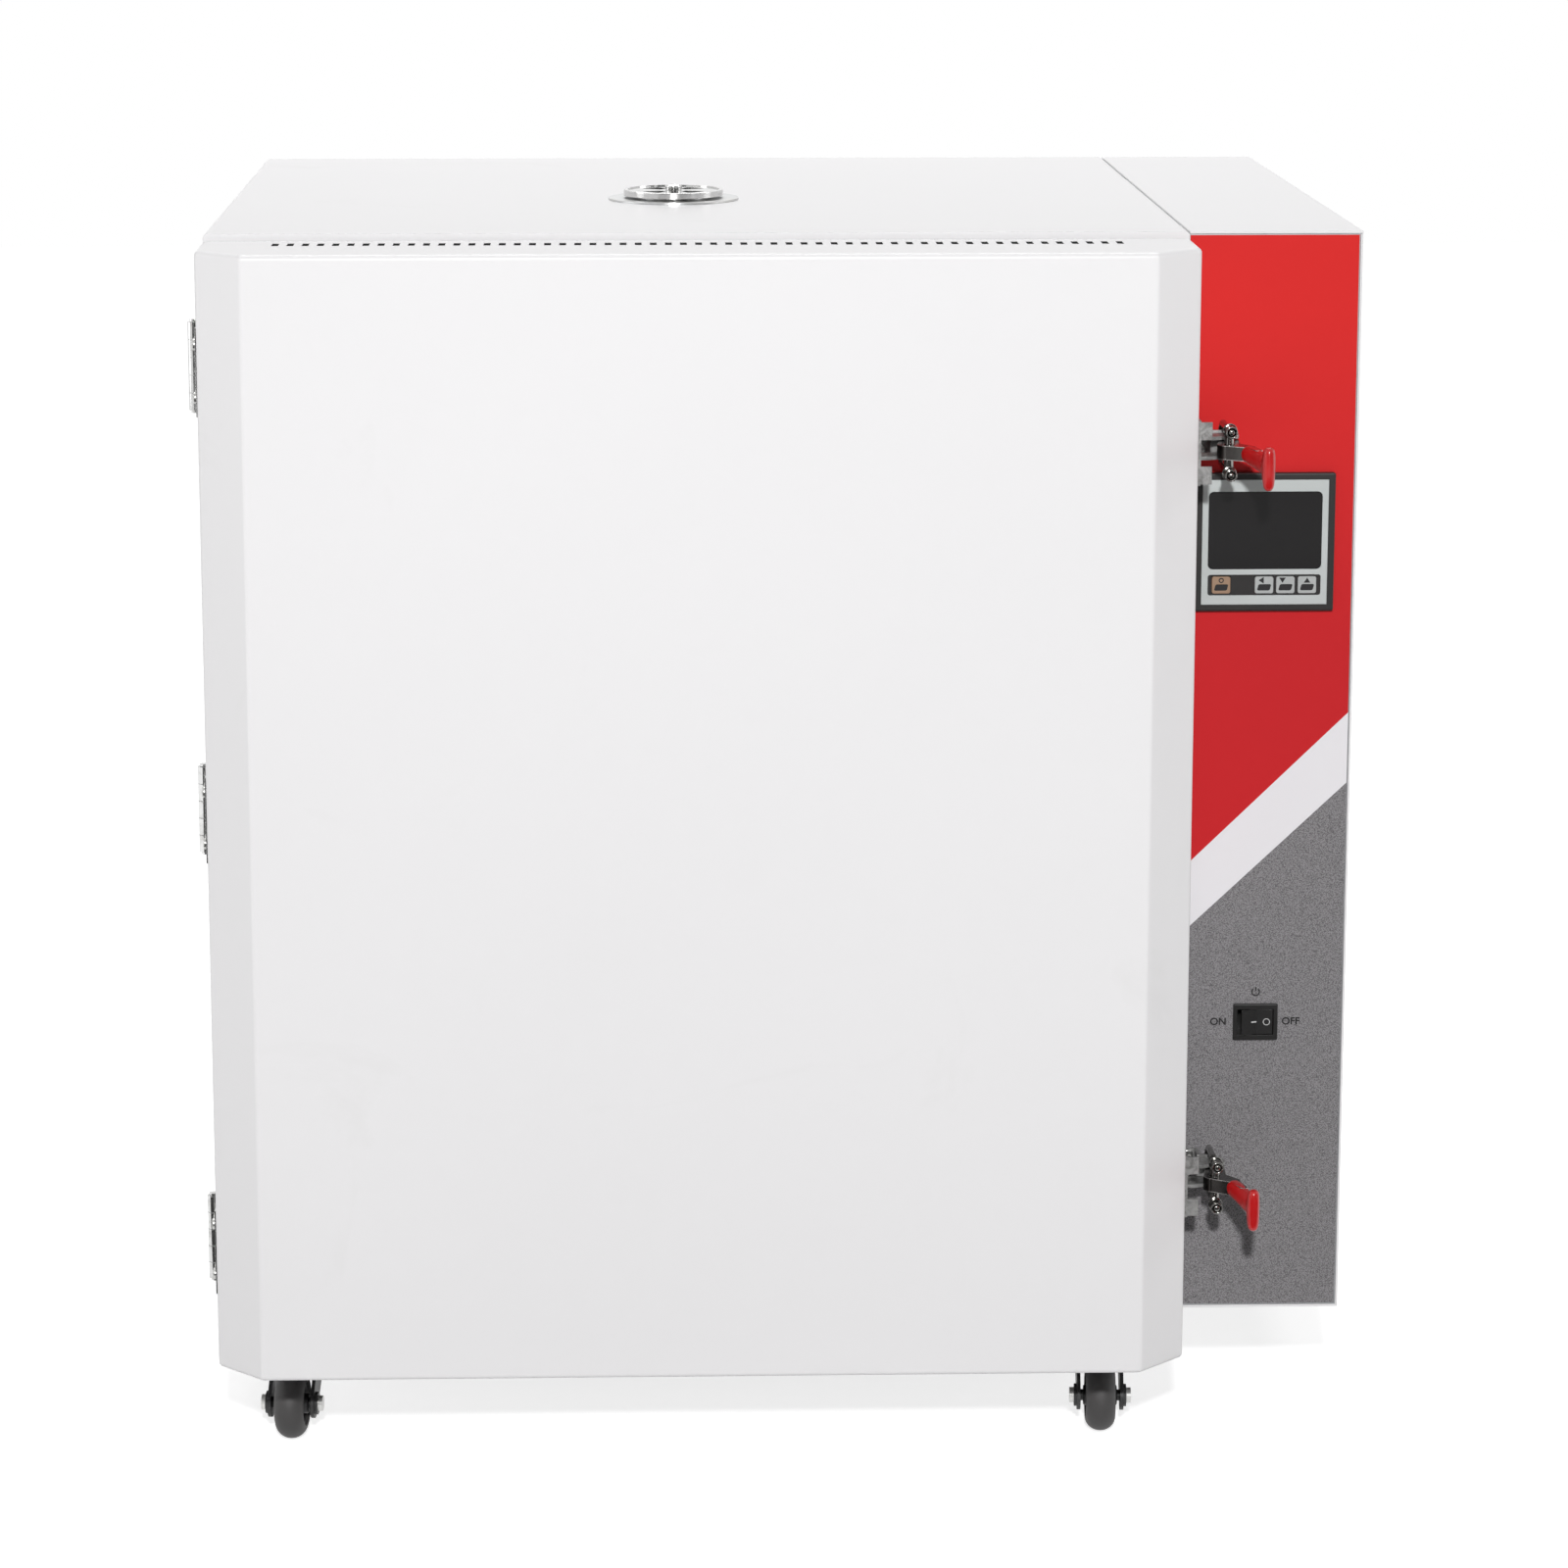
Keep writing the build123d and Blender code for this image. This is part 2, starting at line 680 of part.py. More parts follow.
vent_nut_h = 3.0
with BuildPart() as vent_screw:
    with BuildSketch(vent_plane(cap_top + fit)):
        Circle(vent_head_r)
    extrude(amount=vent_head_h)
    fillet(vent_screw.edges().sort_by(Axis.Z)[-1], 1.5)
    with BuildSketch(vent_plane(cap_top + fit + vent_head_h)):
        RegularPolygon(2, 6)
    extrude(amount=-2, mode=Mode.SUBTRACT)
    with BuildSketch(vent_plane(vent_neck - vent_nut_h - 1)):
        Circle(bolt_r)
    extrude(amount=cap_top + fit - vent_neck + vent_nut_h + 1)
    with BuildSketch(vent_plane(vent_neck - vent_nut_h)):
        RegularPolygon(bolt_across / 2, 6, major_radius=False)
        Circle(bolt_r + run_fit, mode=Mode.SUBTRACT)
    extrude(amount=vent_nut_h)
save(vent_screw, "vent_screw")


# Control column

cover_z = (column_bottom + sheet + fit, case_top - sheet - fit)
front_flange = 12.0
with BuildPart() as column_case:
    column_x = (seam_x, column_right)
    block(column_x, (front_y, rear_y), (case_top - sheet, case_top))
    block(column_x, (front_y, rear_y), (column_bottom, column_bottom + sheet))
    block(column_x, (rear_y - sheet, rear_y), (column_bottom, case_top))
    inside_y = (panel_back, rear_y)
    flange_x = (column_right - 2 * sheet, column_right - sheet)
    flange_top = (case_top - sheet - side_flange, case_top)
    flange_bottom = (column_bottom, column_bottom + sheet + side_flange)
    block(flange_x, inside_y, flange_top)
    block(flange_x, inside_y, flange_bottom)
    block(flange_x, (rear_y - side_flange, rear_y), (column_bottom, case_top))
    block(flange_x, (panel_back, panel_back + side_flange), (column_bottom, case_top))
    lip_x = (seam_x, column_right - sheet)
    lip_y = (panel_back, panel_back + sheet)
    block(lip_x, lip_y, (case_top - sheet - front_flange, case_top))
    block(lip_x, lip_y, (column_bottom, column_bottom + sheet + front_flange))
    block((column_right - sheet - front_flange, column_right - sheet), lip_y, (column_bottom, case_top))
    block((column_right - sheet, column_right), (panel_back, rear_y - sheet), cover_z, Mode.SUBTRACT)
    drill(side_screw_seats, to_right, screw_hole, 3 * sheet)
    rod((column_mid, rear_y, gland_z), 8 + seat_gap, 4 * sheet, "y", Mode.SUBTRACT)
save(column_case, "column_case")

panel_span_x = (seam_x + fit, column_right - sheet - fit)


def cut_front_openings(y_span):
    for centre_x, centre_z, size in (
        (controller_x, controller_z, (cutout_w, cutout_w)),
        (rocker_x, rocker_z, (rocker_body[0] + 2 * seat_gap, rocker_body[1] + 2 * seat_gap)),
    ):
        block(about(centre_x, size[0]), y_span, about(centre_z, size[1]), Mode.SUBTRACT)
    drill(catch_screw_seats, to_front, screw_hole, catch_t + film_t + 2 * sheet)


with BuildPart() as column_front_panel:
    block(panel_span_x, (panel_front, panel_back), cover_z)
    cut_front_openings((panel_front, panel_back))
save(column_front_panel, "column_front_panel")

with BuildPart() as panel_overlay:
    block(
        (panel_span_x[0], panel_span_x[1] - film_margin), (front_y, panel_front),
        grow(cover_z, -film_margin),
    )
    cut_front_openings((front_y, panel_front))
save(panel_overlay, "panel_overlay")

louvre_rows = 10
with BuildPart() as column_side_cover:
    block((column_right - sheet, column_right), (front_y, rear_y - sheet - fit), cover_z)
    fillet(
        column_side_cover.edges().filter_by(Axis.Z).group_by(Axis.Y)[0].sort_by(Axis.X)[-1], 0.8 * sheet,
    )
    for louvre_z in (cover_z[0] + 150, cover_z[1] - 150):
        row_middle = (column_right - sheet, rear_y - 150, louvre_z)
        with BuildSketch(Plane(origin=row_middle, x_dir=to_rear, z_dir=to_right)):
            with GridLocations(0, 14, 1, louvre_rows):
                SlotOverall(110, 5)
        extrude(amount=sheet, mode=Mode.SUBTRACT)
    drill(side_screw_seats, to_right, screw_hole, 2 * sheet)
save(column_side_cover, "column_side_cover")

with BuildPart() as cover_screws:
    set_fasteners(cover_screw, rear_screw_seats, to_rear)
    set_fasteners(cover_screw, side_screw_seats, to_right)
save(cover_screws, "cover_screws")

with BuildPart() as cabinet_screws:
    set_fasteners(wall_screw, leaf_screw_seats(1), to_left)
    set_fasteners(wall_screw, motor_screw_seats, to_right)
    set_fasteners(wall_screw, catch_screw_seats, to_front)
save(cabinet_screws, "cabinet_screws")


# Controller: housing behind the panel, bezel, faceplate, window and four keys

def front_plane(centre_x, centre_z, y):
    # Drawn from behind the front: x to the right, y up, extruding towards the viewer
    return Plane(origin=(centre_x, y, centre_z), x_dir=to_right, z_dir=to_front)


with BuildPart() as controller_housing:
    block(about(controller_x, housing_w), (front_y, front_y + housing_d), about(controller_z, housing_w))
    fillet(controller_housing.edges().filter_by(Axis.Y), 2)
save(controller_housing, "controller_housing")

with BuildPart() as controller_bezel:
    with BuildSketch(front_plane(controller_x, controller_z, front_y)):
        RectangleRounded(bezel_w, bezel_w, bezel_r)
    extrude(amount=bezel_proud)
    fillet(controller_bezel.faces().sort_by(Axis.Y)[0].outer_wire().edges(), 1.2)
    with BuildSketch(front_plane(controller_x, controller_z, front_y - bezel_floor)):
        Rectangle(faceplate_w + 2 * seat_gap, faceplate_w + 2 * seat_gap)
    extrude(amount=bezel_proud - bezel_floor, mode=Mode.SUBTRACT)
    with BuildSketch(front_plane(controller_x, controller_z, front_y)):
        with Locations(*((offset_x, -strip_down) for offset_x in key_places.values())):
            RectangleRounded(key_size[0] + 2 * key_gap, key_size[1] + 2 * key_gap, key_corner)
    extrude(amount=bezel_floor, mode=Mode.SUBTRACT)
save(controller_bezel, "controller_bezel")

with BuildPart() as controller_faceplate:
    with BuildSketch(front_plane(controller_x, controller_z, front_y - bezel_floor)):
        Rectangle(faceplate_w, faceplate_w)
        with Locations((0, window_up)):
            RectangleRounded(
                window_size[0] + 2 * seat_gap, window_size[1] + 2 * seat_gap, window_corner,
                mode=Mode.SUBTRACT,
            )
        with Locations((0, -strip_down)):
            RectangleRounded(*strip_size, strip_corner, mode=Mode.SUBTRACT)
    extrude(amount=faceplate_t)
save(controller_faceplate, "controller_faceplate")

with BuildPart() as display_window:
    with BuildSketch(front_plane(controller_x, controller_z + window_up, front_y - bezel_floor)):
        RectangleRounded(*window_size, window_corner)
    extrude(amount=faceplate_t)
save(display_window, "display_window")

for name, offset_x in key_places.items():
    key_back = front_y - key_travel - fit
    with BuildPart() as key:
        with BuildSketch(front_plane(controller_x + offset_x, controller_z - strip_down, key_back)):
            RectangleRounded(*key_size, key_corner)
        extrude(amount=bezel_floor + key_proud - key_travel - fit)
        fillet(key.faces().sort_by(Axis.Y)[0].edges(), 0.4)
    save(key, name)

with BuildPart() as rocker_frame:
    with BuildSketch(front_plane(rocker_x, rocker_z, front_y)):
        RectangleRounded(*rocker_size, 1)
    extrude(amount=rocker_proud)
    fillet(rocker_frame.faces().sort_by(Axis.Y)[0].edges(), 0.8)
    block(about(rocker_x, rocker_body[0]), (front_y, front_y + rocker_depth), about(rocker_z, rocker_body[1]))
    block(
        about(rocker_x, rocker_hole[0]), (front_y - rocker_proud, front_y + rocker_depth - sheet),
        about(rocker_z, rocker_hole[1]), Mode.SUBTRACT,
    )
    rod(
        (rocker_x, front_y + rocker_pivot_depth, rocker_z), rocker_pivot_r + run_fit,
        rocker_body[1] + sheet, "z", Mode.SUBTRACT,
    )
save(rocker_frame, "rocker_frame")

with BuildPart() as rocker_switch:
    half = rocker_hole[0] / 2 - 1.4
    rocker_h = rocker_hole[1] - 2 * fit
    turn = radians(rocker_tilt)
    tilted = (cos(turn), sin(turn), 0)
    bottom = (rocker_x, front_y + rocker_pivot_depth, rocker_z - rocker_h / 2)
    with BuildSketch(Plane(origin=bottom, x_dir=tilted, z_dir=(0, 0, 1))):
        Polygon(
            (-half, -7.5), (0, -5.2), (half, -7.5), (half - 2.3, 0), (3, 5), (-3, 5), (2.3 - half, 0),
        )
    extrude(amount=rocker_h)
    rod((bottom[0], bottom[1], rocker_z), rocker_pivot_r, rocker_body[1] - 2 * fit)
save(rocker_switch, "rocker_switch")


# Electrical pieces on the wall between the body and the column

tray_y = rear_y - tray_back
relay_z = fan_z + relay_rise
terminal_z = fan_z - terminal_drop
with BuildPart() as solid_state_relay:
    sink_x = (seam_x, seam_x + 30)
    block((seam_x, seam_x + 6), about(tray_y, 80), about(relay_z, 100))
    for number in range(9):
        block(sink_x, about(tray_y - 36 + 9 * number, 2), about(relay_z, 100))
    block((seam_x + 26, seam_x + 30), about(tray_y, 80), about(relay_z, 100))
    block((sink_x[1], sink_x[1] + 23), about(tray_y, 45), about(relay_z, 58))
save(solid_state_relay, "solid_state_relay")

with BuildPart() as terminal_block:
    block((seam_x, seam_x + 8), about(tray_y, 35), about(terminal_z, 140))
    for number in range(8):
        block((seam_x + 8, seam_x + 45), about(tray_y, 42), about(terminal_z - 56 + 16 * number, 15.6))
    fillet(terminal_block.edges().filter_by(Axis.Z).group_by(Axis.X)[-1], 3)
save(terminal_block, "terminal_block")

with BuildPart() as cable_gland:
    with BuildSketch(Plane(origin=(column_mid, rear_y, gland_z), x_dir=to_right, z_dir=to_rear)):
        RegularPolygon(12, 6, major_radius=False)
    extrude(amount=7)
    rod((column_mid, rear_y + (7 + gland_reach) / 2, gland_z), 10, gland_reach - 7, "y")
    fillet(cable_gland.edges().sort_by(Axis.Y)[-1], 3)
    rod((column_mid, rear_y - 4, gland_z), 8, 8, "y")
    with BuildSketch(Plane(origin=(column_mid, rear_y - sheet, gland_z), x_dir=to_right, z_dir=to_front)):
        RegularPolygon(12, 6, major_radius=False)
    extrude(amount=4)
    rod((column_mid, rear_y, gland_z), gland_bore, 4 * gland_reach, "y", Mode.SUBTRACT)
save(cable_gland, "cable_gland")


# Hinges

knuckle_h = (leaf_h - (knuckles - 1) * fit) / knuckles


def hinge_leaves(toward, own_knuckles):
    # Three leaves on the left faces, each with its knuckles and their necks
    near = hinge_y + toward * leaf_start
    far = near + toward * leaf_w
    for z in hinge_zs:
        block((body_left - leaf_t, body_left), sorted((near, far)), about(z, leaf_h))
        for number in own_knuckles:
            knuckle_z = z - leaf_h / 2 + number * (knuckle_h + fit) + knuckle_h / 2
            rod((hinge_x, hinge_y, knuckle_z), barrel_r, knuckle_h)
            neck_y = sorted((hinge_y, near + toward * 2))
            block((hinge_x + 1, hinge_x + barrel_r), neck_y, about(knuckle_z, knuckle_h))
    for z in hinge_zs:
        rod((hinge_x, hinge_y, z), hinge_pin_r + run_fit, 2 * leaf_h, "z", Mode.SUBTRACT)
    drill(leaf_screw_seats(toward), to_left, screw_hole, 2 * leaf_t)


with BuildPart() as cabinet_hinge_leaves:
    hinge_leaves(1, (0, 2, 4))
save(cabinet_hinge_leaves, "cabinet_hinge_leaves")

with BuildPart() as hinge_pins:
    for z in hinge_zs:
        rod((hinge_x, hinge_y, z), hinge_pin_r, leaf_h + 2)
        for end in (-1, 1):
            rod((hinge_x, hinge_y, z + end * (leaf_h / 2 + 1)), hinge_pin_r + 1, 1.6)
save(hinge_pins, "hinge_pins")

with BuildPart() as door_hinge_leaves:
    hinge_leaves(-1, (1, 3))
save(door_hinge_leaves, "door_hinge_leaves")


# Door

chamfer_y = door_front + door_chamfer
slot_y = front_y - slot_back
slots = int((body_w - 2 * slot_margin) / slot_pitch)
with BuildPart() as door_shell:
    with BuildSketch(Plane.XY.offset(door_z[0])) as door_plan:
        Polygon(
            (body_left, door_back), (body_left, chamfer_y), (body_left + door_chamfer, door_front),
            (seam_x - door_chamfer, door_front), (seam_x, chamfer_y), (seam_x, door_back),
        )
    extrude(amount=door_z[1] - door_z[0])
    upright = door_shell.edges().filter_by(Axis.Z)
    rear_upright = upright.group_by(Axis.Y)[-1]
    flat = door_shell.faces().sort_by(Axis.Z)
    outline = flat[0].edges() + flat[-1].edges()
    fillet(upright - rear_upright + outline - outline.group_by(Axis.Y)[-1], door_edge_r)
    with BuildSketch(Plane.XY.offset(door_z[0] + sheet)):
        add(door_plan.sketch_local)
        offset(amount=-sheet, kind=Kind.INTERSECTION, mode=Mode.REPLACE)
    extrude(amount=door_z[1] - door_z[0] - 2 * sheet, mode=Mode.SUBTRACT)
    door_inner_x = (body_left + sheet, seam_x - sheet)
    door_inner_z = grow(door_z, -sheet)
    block(door_inner_x, (door_back - 2 * sheet, door_back - sheet), door_inner_z)
    block(
        grow(door_inner_x, -door_lip), (door_back - 2 * sheet, door_back - sheet),
        grow(door_inner_z, -door_lip), Mode.SUBTRACT,
    )
    block(door_inner_x, (door_back - sheet, door_back), door_inner_z, Mode.SUBTRACT)
    with BuildSketch(Plane.XY.offset(door_z[0])):
        with Locations((body_mid, slot_y)):
            with GridLocations(slot_pitch, 0, slots, 1):
                Rectangle(slot_w, slot_l)
    extrude(amount=door_z[1] - door_z[0], mode=Mode.SUBTRACT)
    drill(leaf_screw_seats(-1), to_left, screw_hole, leaf_t + 2 * sheet)
    drill(base_screw_seats(), to_right, screw_hole, base_t + 2 * sheet)
save(door_shell, "door_shell")

plug_x = grow(chamber_x, -plug_gap_x)
plug_z = grow(chamber_z, -plug_gap_z)
plug_front = front_y + plug_depth
plug_size = (plug_x[1] - plug_x[0], plug_z[1] - plug_z[0])
plug_plane = Plane(origin=(body_mid, door_back - sheet, chamber_mid_z), x_dir=to_left, z_dir=to_rear)
with BuildPart() as door_inner_liner:
    with BuildSketch(plug_plane):
        RectangleRounded(*plug_size, plug_r)
    extrude(amount=plug_front - door_back + sheet)
    fillet(door_inner_liner.faces().sort_by(Axis.Y)[-1].edges(), 2 * sheet)
    block(grow(door_inner_x, -fit), (door_back - sheet, door_back), grow(door_inner_z, -fit))
    with BuildSketch(plug_plane):
        RectangleRounded(plug_size[0] - 2 * sheet, plug_size[1] - 2 * sheet, plug_r - sheet)
    extrude(amount=plug_front - door_back, mode=Mode.SUBTRACT)
save(door_inner_liner, "door_inner_liner")

with BuildPart() as door_insulation:
    wool_front = chamfer_y + screw_space
    wool_side = grow(door_inner_x, -screw_space)
    wool_level = grow(door_inner_z, -air_channel)
    wool_back = door_back - 2 * sheet - wool_gap
    block(wool_side, (wool_front, wool_back), wool_level)
    block(
        grow(door_inner_x, -door_chamfer), (door_front + sheet + wool_gap, wool_front), wool_level,
    )
    block(
        grow(plug_x, -plug_r / 2), (wool_back, plug_front - sheet - wool_gap), grow(plug_z, -plug_r / 2),
    )
save(door_insulation, "door_insulation")

# The gasket stands just clear of the liner flange when the door is shut
gasket_x = grow(chamber_x, gasket_gap)
gasket_z = grow(chamber_z, gasket_gap)
with BuildPart() as door_gasket:
    gasket_plane = Plane(origin=(body_mid, door_back, chamber_mid_z), x_dir=to_left, z_dir=to_rear)
    gasket_size = (gasket_x[1] - gasket_x[0], gasket_z[1] - gasket_z[0])
    with BuildSketch(gasket_plane):
        RectangleRounded(gasket_size[0] + 2 * gasket_w, gasket_size[1] + 2 * gasket_w, 35)
        RectangleRounded(*gasket_size, 35 - gasket_w, mode=Mode.SUBTRACT)
    extrude(amount=door_gap + sheet - fit)
    fillet(door_gasket.faces().sort_by(Axis.Y)[-1].edges(), 3)
save(door_gasket, "door_gasket")

with BuildPart() as door_screws:
    set_fasteners(wall_screw, leaf_screw_seats(-1), to_left)
    set_fasteners(wall_screw, base_screw_seats(), to_right)
save(door_screws, "door_screws")


# Toggle clamps

def clamp_plane(z, w):
    return Plane(origin=(seam_x, front_y, z + w))


def both_sides(z, span, profile, mode=Mode.ADD):
    # Extrudes a profile function over a w span and its mirror image
    for low, high in (span, (-span[1], -span[0])):
        with BuildSketch(clamp_plane(z, low)) as side:
            profile()
        extrude(side.sketch, amount=high - low, mode=mode)


def ear_profile():
    limb((base_t + 5, pivot_at[1] - 3), 10.5, pivot_at, 6.5)
    with Locations((base_t - 8, pivot_at[1] - 3)):
        Rectangle(16, 40, mode=Mode.SUBTRACT)
    with Locations(pivot_at):
        Circle(pivot_r + run_fit, mode=Mode.SUBTRACT)


def arm_outline():
    limb(pivot_at, 6.0, trunnion_at, 8.0)
    limb(trunnion_at, 8.0, elbow_at, 5.0)


def arm_profile():
    arm_outline()
    with Locations(trunnion_at):
        Circle(trunnion_r + run_fit, mode=Mode.SUBTRACT)
    with Locations(pivot_at):
        Circle(pivot_r + run_fit, mode=Mode.SUBTRACT)


with BuildPart() as clamp_bases:
    for z in clamp_zs.values():
        base_y = (front_y + base_v[0], front_y + base_v[1])
        block((seam_x, seam_x + base_t), base_y, grow((z, z), base_half))
        for side in (-1, 1):
            lip_z = sorted((z + side * (base_half - 13), z + side * (base_half - 1)))
            block((seam_x, seam_x + 10), (base_y[0], base_y[0] + base_t), lip_z)
        both_sides(z, ear_w, ear_profile)
    drill(base_screw_seats(), to_right, screw_hole, 2 * base_t)
    for z in clamp_zs.values():
        pivot = (seam_x + pivot_at[0], front_y + pivot_at[1], z)
        rod(pivot, pivot_r, 2 * ear_w[1] + 1)
        for end in (-1, 1):
            rod((pivot[0], pivot[1], z + end * (ear_w[1] + 1)), pivot_r + 1.5, 1.4)
save(clamp_bases, "clamp_bases")


def clamp_lever(z):
    # Two side plates on the pivot, joined by a web along the front and by a tongue for the grip
    with BuildPart() as lever:
        with BuildSketch(clamp_plane(z, -lever_w[0])) as web:
            arm_outline()
            with BuildSketch(mode=Mode.PRIVATE) as hollow:
                arm_outline()
            with Locations((lever_web_t, lever_web_t)):
                add(hollow.sketch, mode=Mode.SUBTRACT)
            with Locations(pivot_at):
                Circle(pivot_r + 3, mode=Mode.SUBTRACT)
            with Locations(trunnion_at):
                Circle(trunnion_r + fit, mode=Mode.SUBTRACT)
        extrude(web.sketch, amount=2 * lever_w[0])
        both_sides(z, lever_w, arm_profile)
        with BuildSketch(clamp_plane(z, -lever_w[1])) as tongue:
            limb(elbow_at, 4.0, tongue_at, 2.6)
        extrude(tongue.sketch, amount=2 * lever_w[1])
    return lever


# Grip stations: place, half height, half thickness and drop of the middle
grip_stations = (
    ((35.2, -66.0), 6.0, 5.0, 0.0),
    ((39.2, -80.0), 6.8, 4.4, -0.3),
    ((42.8, -92.0), 11.0, 4.6, -1.4),
    ((45.2, -102.0), 13.2, 4.2, -2.0),
    ((46.0, -grip_reach), 9.0, 2.6, -2.0),
)


def clamp_grip(z):
    with BuildPart() as grip:
        for number, (place, half_h, half_t, drop) in enumerate(grip_stations):
            before = grip_stations[max(number - 1, 0)][0]
            after = grip_stations[min(number + 1, len(grip_stations) - 1)][0]
            heading = (after[0] - before[0], after[1] - before[1], 0)
            if number == len(grip_stations) - 1:
                heading = to_front
            station = Plane(
                origin=(seam_x + place[0], front_y + place[1], z + drop), x_dir=(0, 0, 1), z_dir=heading,
            )
            with BuildSketch(station):
                Ellipse(half_h, half_t)
        loft()
        with BuildSketch(clamp_plane(z, -lever_w[1] - seat_gap)) as pocket:
            limb(elbow_at, 4.0 + seat_gap, tongue_at, 2.6 + seat_gap)
        extrude(pocket.sketch, amount=2 * (lever_w[1] + seat_gap), mode=Mode.SUBTRACT)
    return grip


def clamp_hook(z):
    # Trunnion, the bent rod through it and the two nuts on each of its legs
    lean = radians(hook_angle)
    along = (sin(lean), cos(lean), 0)
    across = (cos(lean), -sin(lean), 0)
    pivot = (seam_x + trunnion_at[0], front_y + trunnion_at[1], z)

    def station(distance):
        origin = tuple(place + distance * step for place, step in zip(pivot, along))
        return Plane(origin=origin, x_dir=(0, 0, 1), z_dir=along)

    with BuildPart() as hook:
        rod(pivot, trunnion_r, 2 * trunnion_half)
        ends = hook.edges().filter_by(GeomType.CIRCLE)
        chamfer(ends, 0.8)
        with BuildSketch(station(-hook_front)) as holes:
            with Locations((-hook_half, 0), (hook_half, 0)):
                Circle(hook_rod_r + run_fit)
        extrude(holes.sketch, amount=2 * hook_front, mode=Mode.SUBTRACT)
        for distance in (-trunnion_r - seat_gap - hook_nut_h, trunnion_r + seat_gap):
            with BuildSketch(station(distance)) as nuts:
                with Locations((-hook_half, 0), (hook_half, 0)):
                    RegularPolygon(hook_nut_across / 2, 6, major_radius=False)
                    Circle(hook_rod_r + run_fit, mode=Mode.SUBTRACT)
            extrude(nuts.sketch, amount=hook_nut_h)
        with BuildLine(Plane(origin=pivot, x_dir=along, z_dir=across)) as route:
            FilletPolyline(
                (-hook_front, -hook_half), (hook_reach, -hook_half),
                (hook_reach, hook_half), (-hook_front, hook_half), radius=hook_bend_r,
            )
        start = route.wires()[0]
        with BuildSketch(Plane(origin=start @ 0, z_dir=start % 0)) as section:
            Circle(hook_rod_r)
        sweep(section.sketch, path=start)
    return hook


for name, z in clamp_zs.items():
    save(clamp_lever(z), f"{name}_clamp_lever")
    save(clamp_grip(z), f"{name}_clamp_grip")
    save(clamp_hook(z), f"{name}_clamp_hook")

# The lip holds the bent rod of the hook, which lies just behind it
hook_bar_v = trunnion_at[1] + hook_reach * cos(radians(hook_angle)) - hook_rod_r
lip_y = (front_y + hook_bar_v - catch_gap - catch_t, front_y + hook_bar_v - catch_gap)
with BuildPart() as clamp_catches:
    for z in clamp_zs.values():
        tall = grow((z, z), catch_half)
        web_x = (seam_x + catch_reach, seam_x + catch_reach + catch_t)
        block((seam_x + 3, web_x[1]), (front_y - catch_t, front_y), tall)
        block(web_x, (lip_y[0], front_y), tall)
        block((web_x[0], seam_x + catch_lip), lip_y, tall)
    drill(catch_screw_seats, to_front, screw_hole, 2 * catch_t)
save(clamp_catches, "clamp_catches")


# Castors

axle_z = wheel_r
crown_z = (57.5 * castor_h / 75, castor_h - castor_plate_t - fit)
king_head = 2.7


def castor_plane(centre, turn):
    heading = radians(turn)
    return Plane(origin=(*centre, 0), x_dir=(cos(heading), sin(heading), 0), z_dir=(0, 0, 1))


def castor_fork(frame):
    with BuildPart(frame) as fork:
        rod((0, 0, sum(crown_z) / 2), crown_r, crown_z[1] - crown_z[0])
        rod((0, 0, crown_z[1] - 3), crown_r + 4, 6)
        block((-fork_half, fork_half), (-crown_r, crown_r - 4), (crown_z[0], crown_z[0] + 3.5))
        for side in (-1, 1):
            inner = side * fork_half - max(side, 0) * fork_t
            leg_at = frame.from_local_coords((inner, 0, 0))
            leg_plane = Plane(origin=leg_at, x_dir=frame.y_dir, z_dir=frame.x_dir)
            with BuildSketch(leg_plane) as leg:
                limb((-2, crown_z[0] - 7), 13.5, (-castor_trail, axle_z), 10.5)
            extrude(leg.sketch, amount=fork_t)
            rod((side * (fork_half + axle_boss / 2), -castor_trail, axle_z), 8, axle_boss, "x")
        rod((0, 0, crown_z[0]), king_r + run_fit, 80, "z", Mode.SUBTRACT)
        rod((0, -castor_trail, axle_z), axle_r + run_fit, 80, "x", Mode.SUBTRACT)
        rod((0, -castor_trail, axle_z), axle_r, 2 * fork_half + 8, "x")
        for side in (-1, 1):
            head_x = side * (fork_half + axle_boss + seat_gap + axle_head / 2)
            rod((head_x, -castor_trail, axle_z), 5.5, axle_head, "x")
    return fork


def castor_wheel(frame):
    with BuildPart(frame) as wheel:
        rod((0, -castor_trail, axle_z), wheel_r, 2 * wheel_half, "x")
        fillet(wheel.edges(), wheel_edge_r)
        rod((-wheel_half, -castor_trail, axle_z), wheel_r - 8, 6, "x", Mode.SUBTRACT)
        rod((wheel_half, -castor_trail, axle_z), wheel_r - 8, 6, "x", Mode.SUBTRACT)
        rod((0, -castor_trail, axle_z), 9, 2 * (fork_half - fork_t - fit), "x")
        rod((0, -castor_trail, axle_z), axle_r + run_fit, 80, "x", Mode.SUBTRACT)
    return wheel


castor_places = {
    "front_left": (castor_xs[0], castor_ys[0]),
    "front_right": (castor_xs[1], castor_ys[0]),
    "rear_left": (castor_xs[0], castor_ys[1]),
    "rear_right": (castor_xs[1], castor_ys[1]),
}
for name, centre in castor_places.items():
    frame = castor_plane(centre, castor_turns[name])
    save(castor_fork(frame), f"castor_fork_{name}")
    save(castor_wheel(frame), f"castor_wheel_{name}")

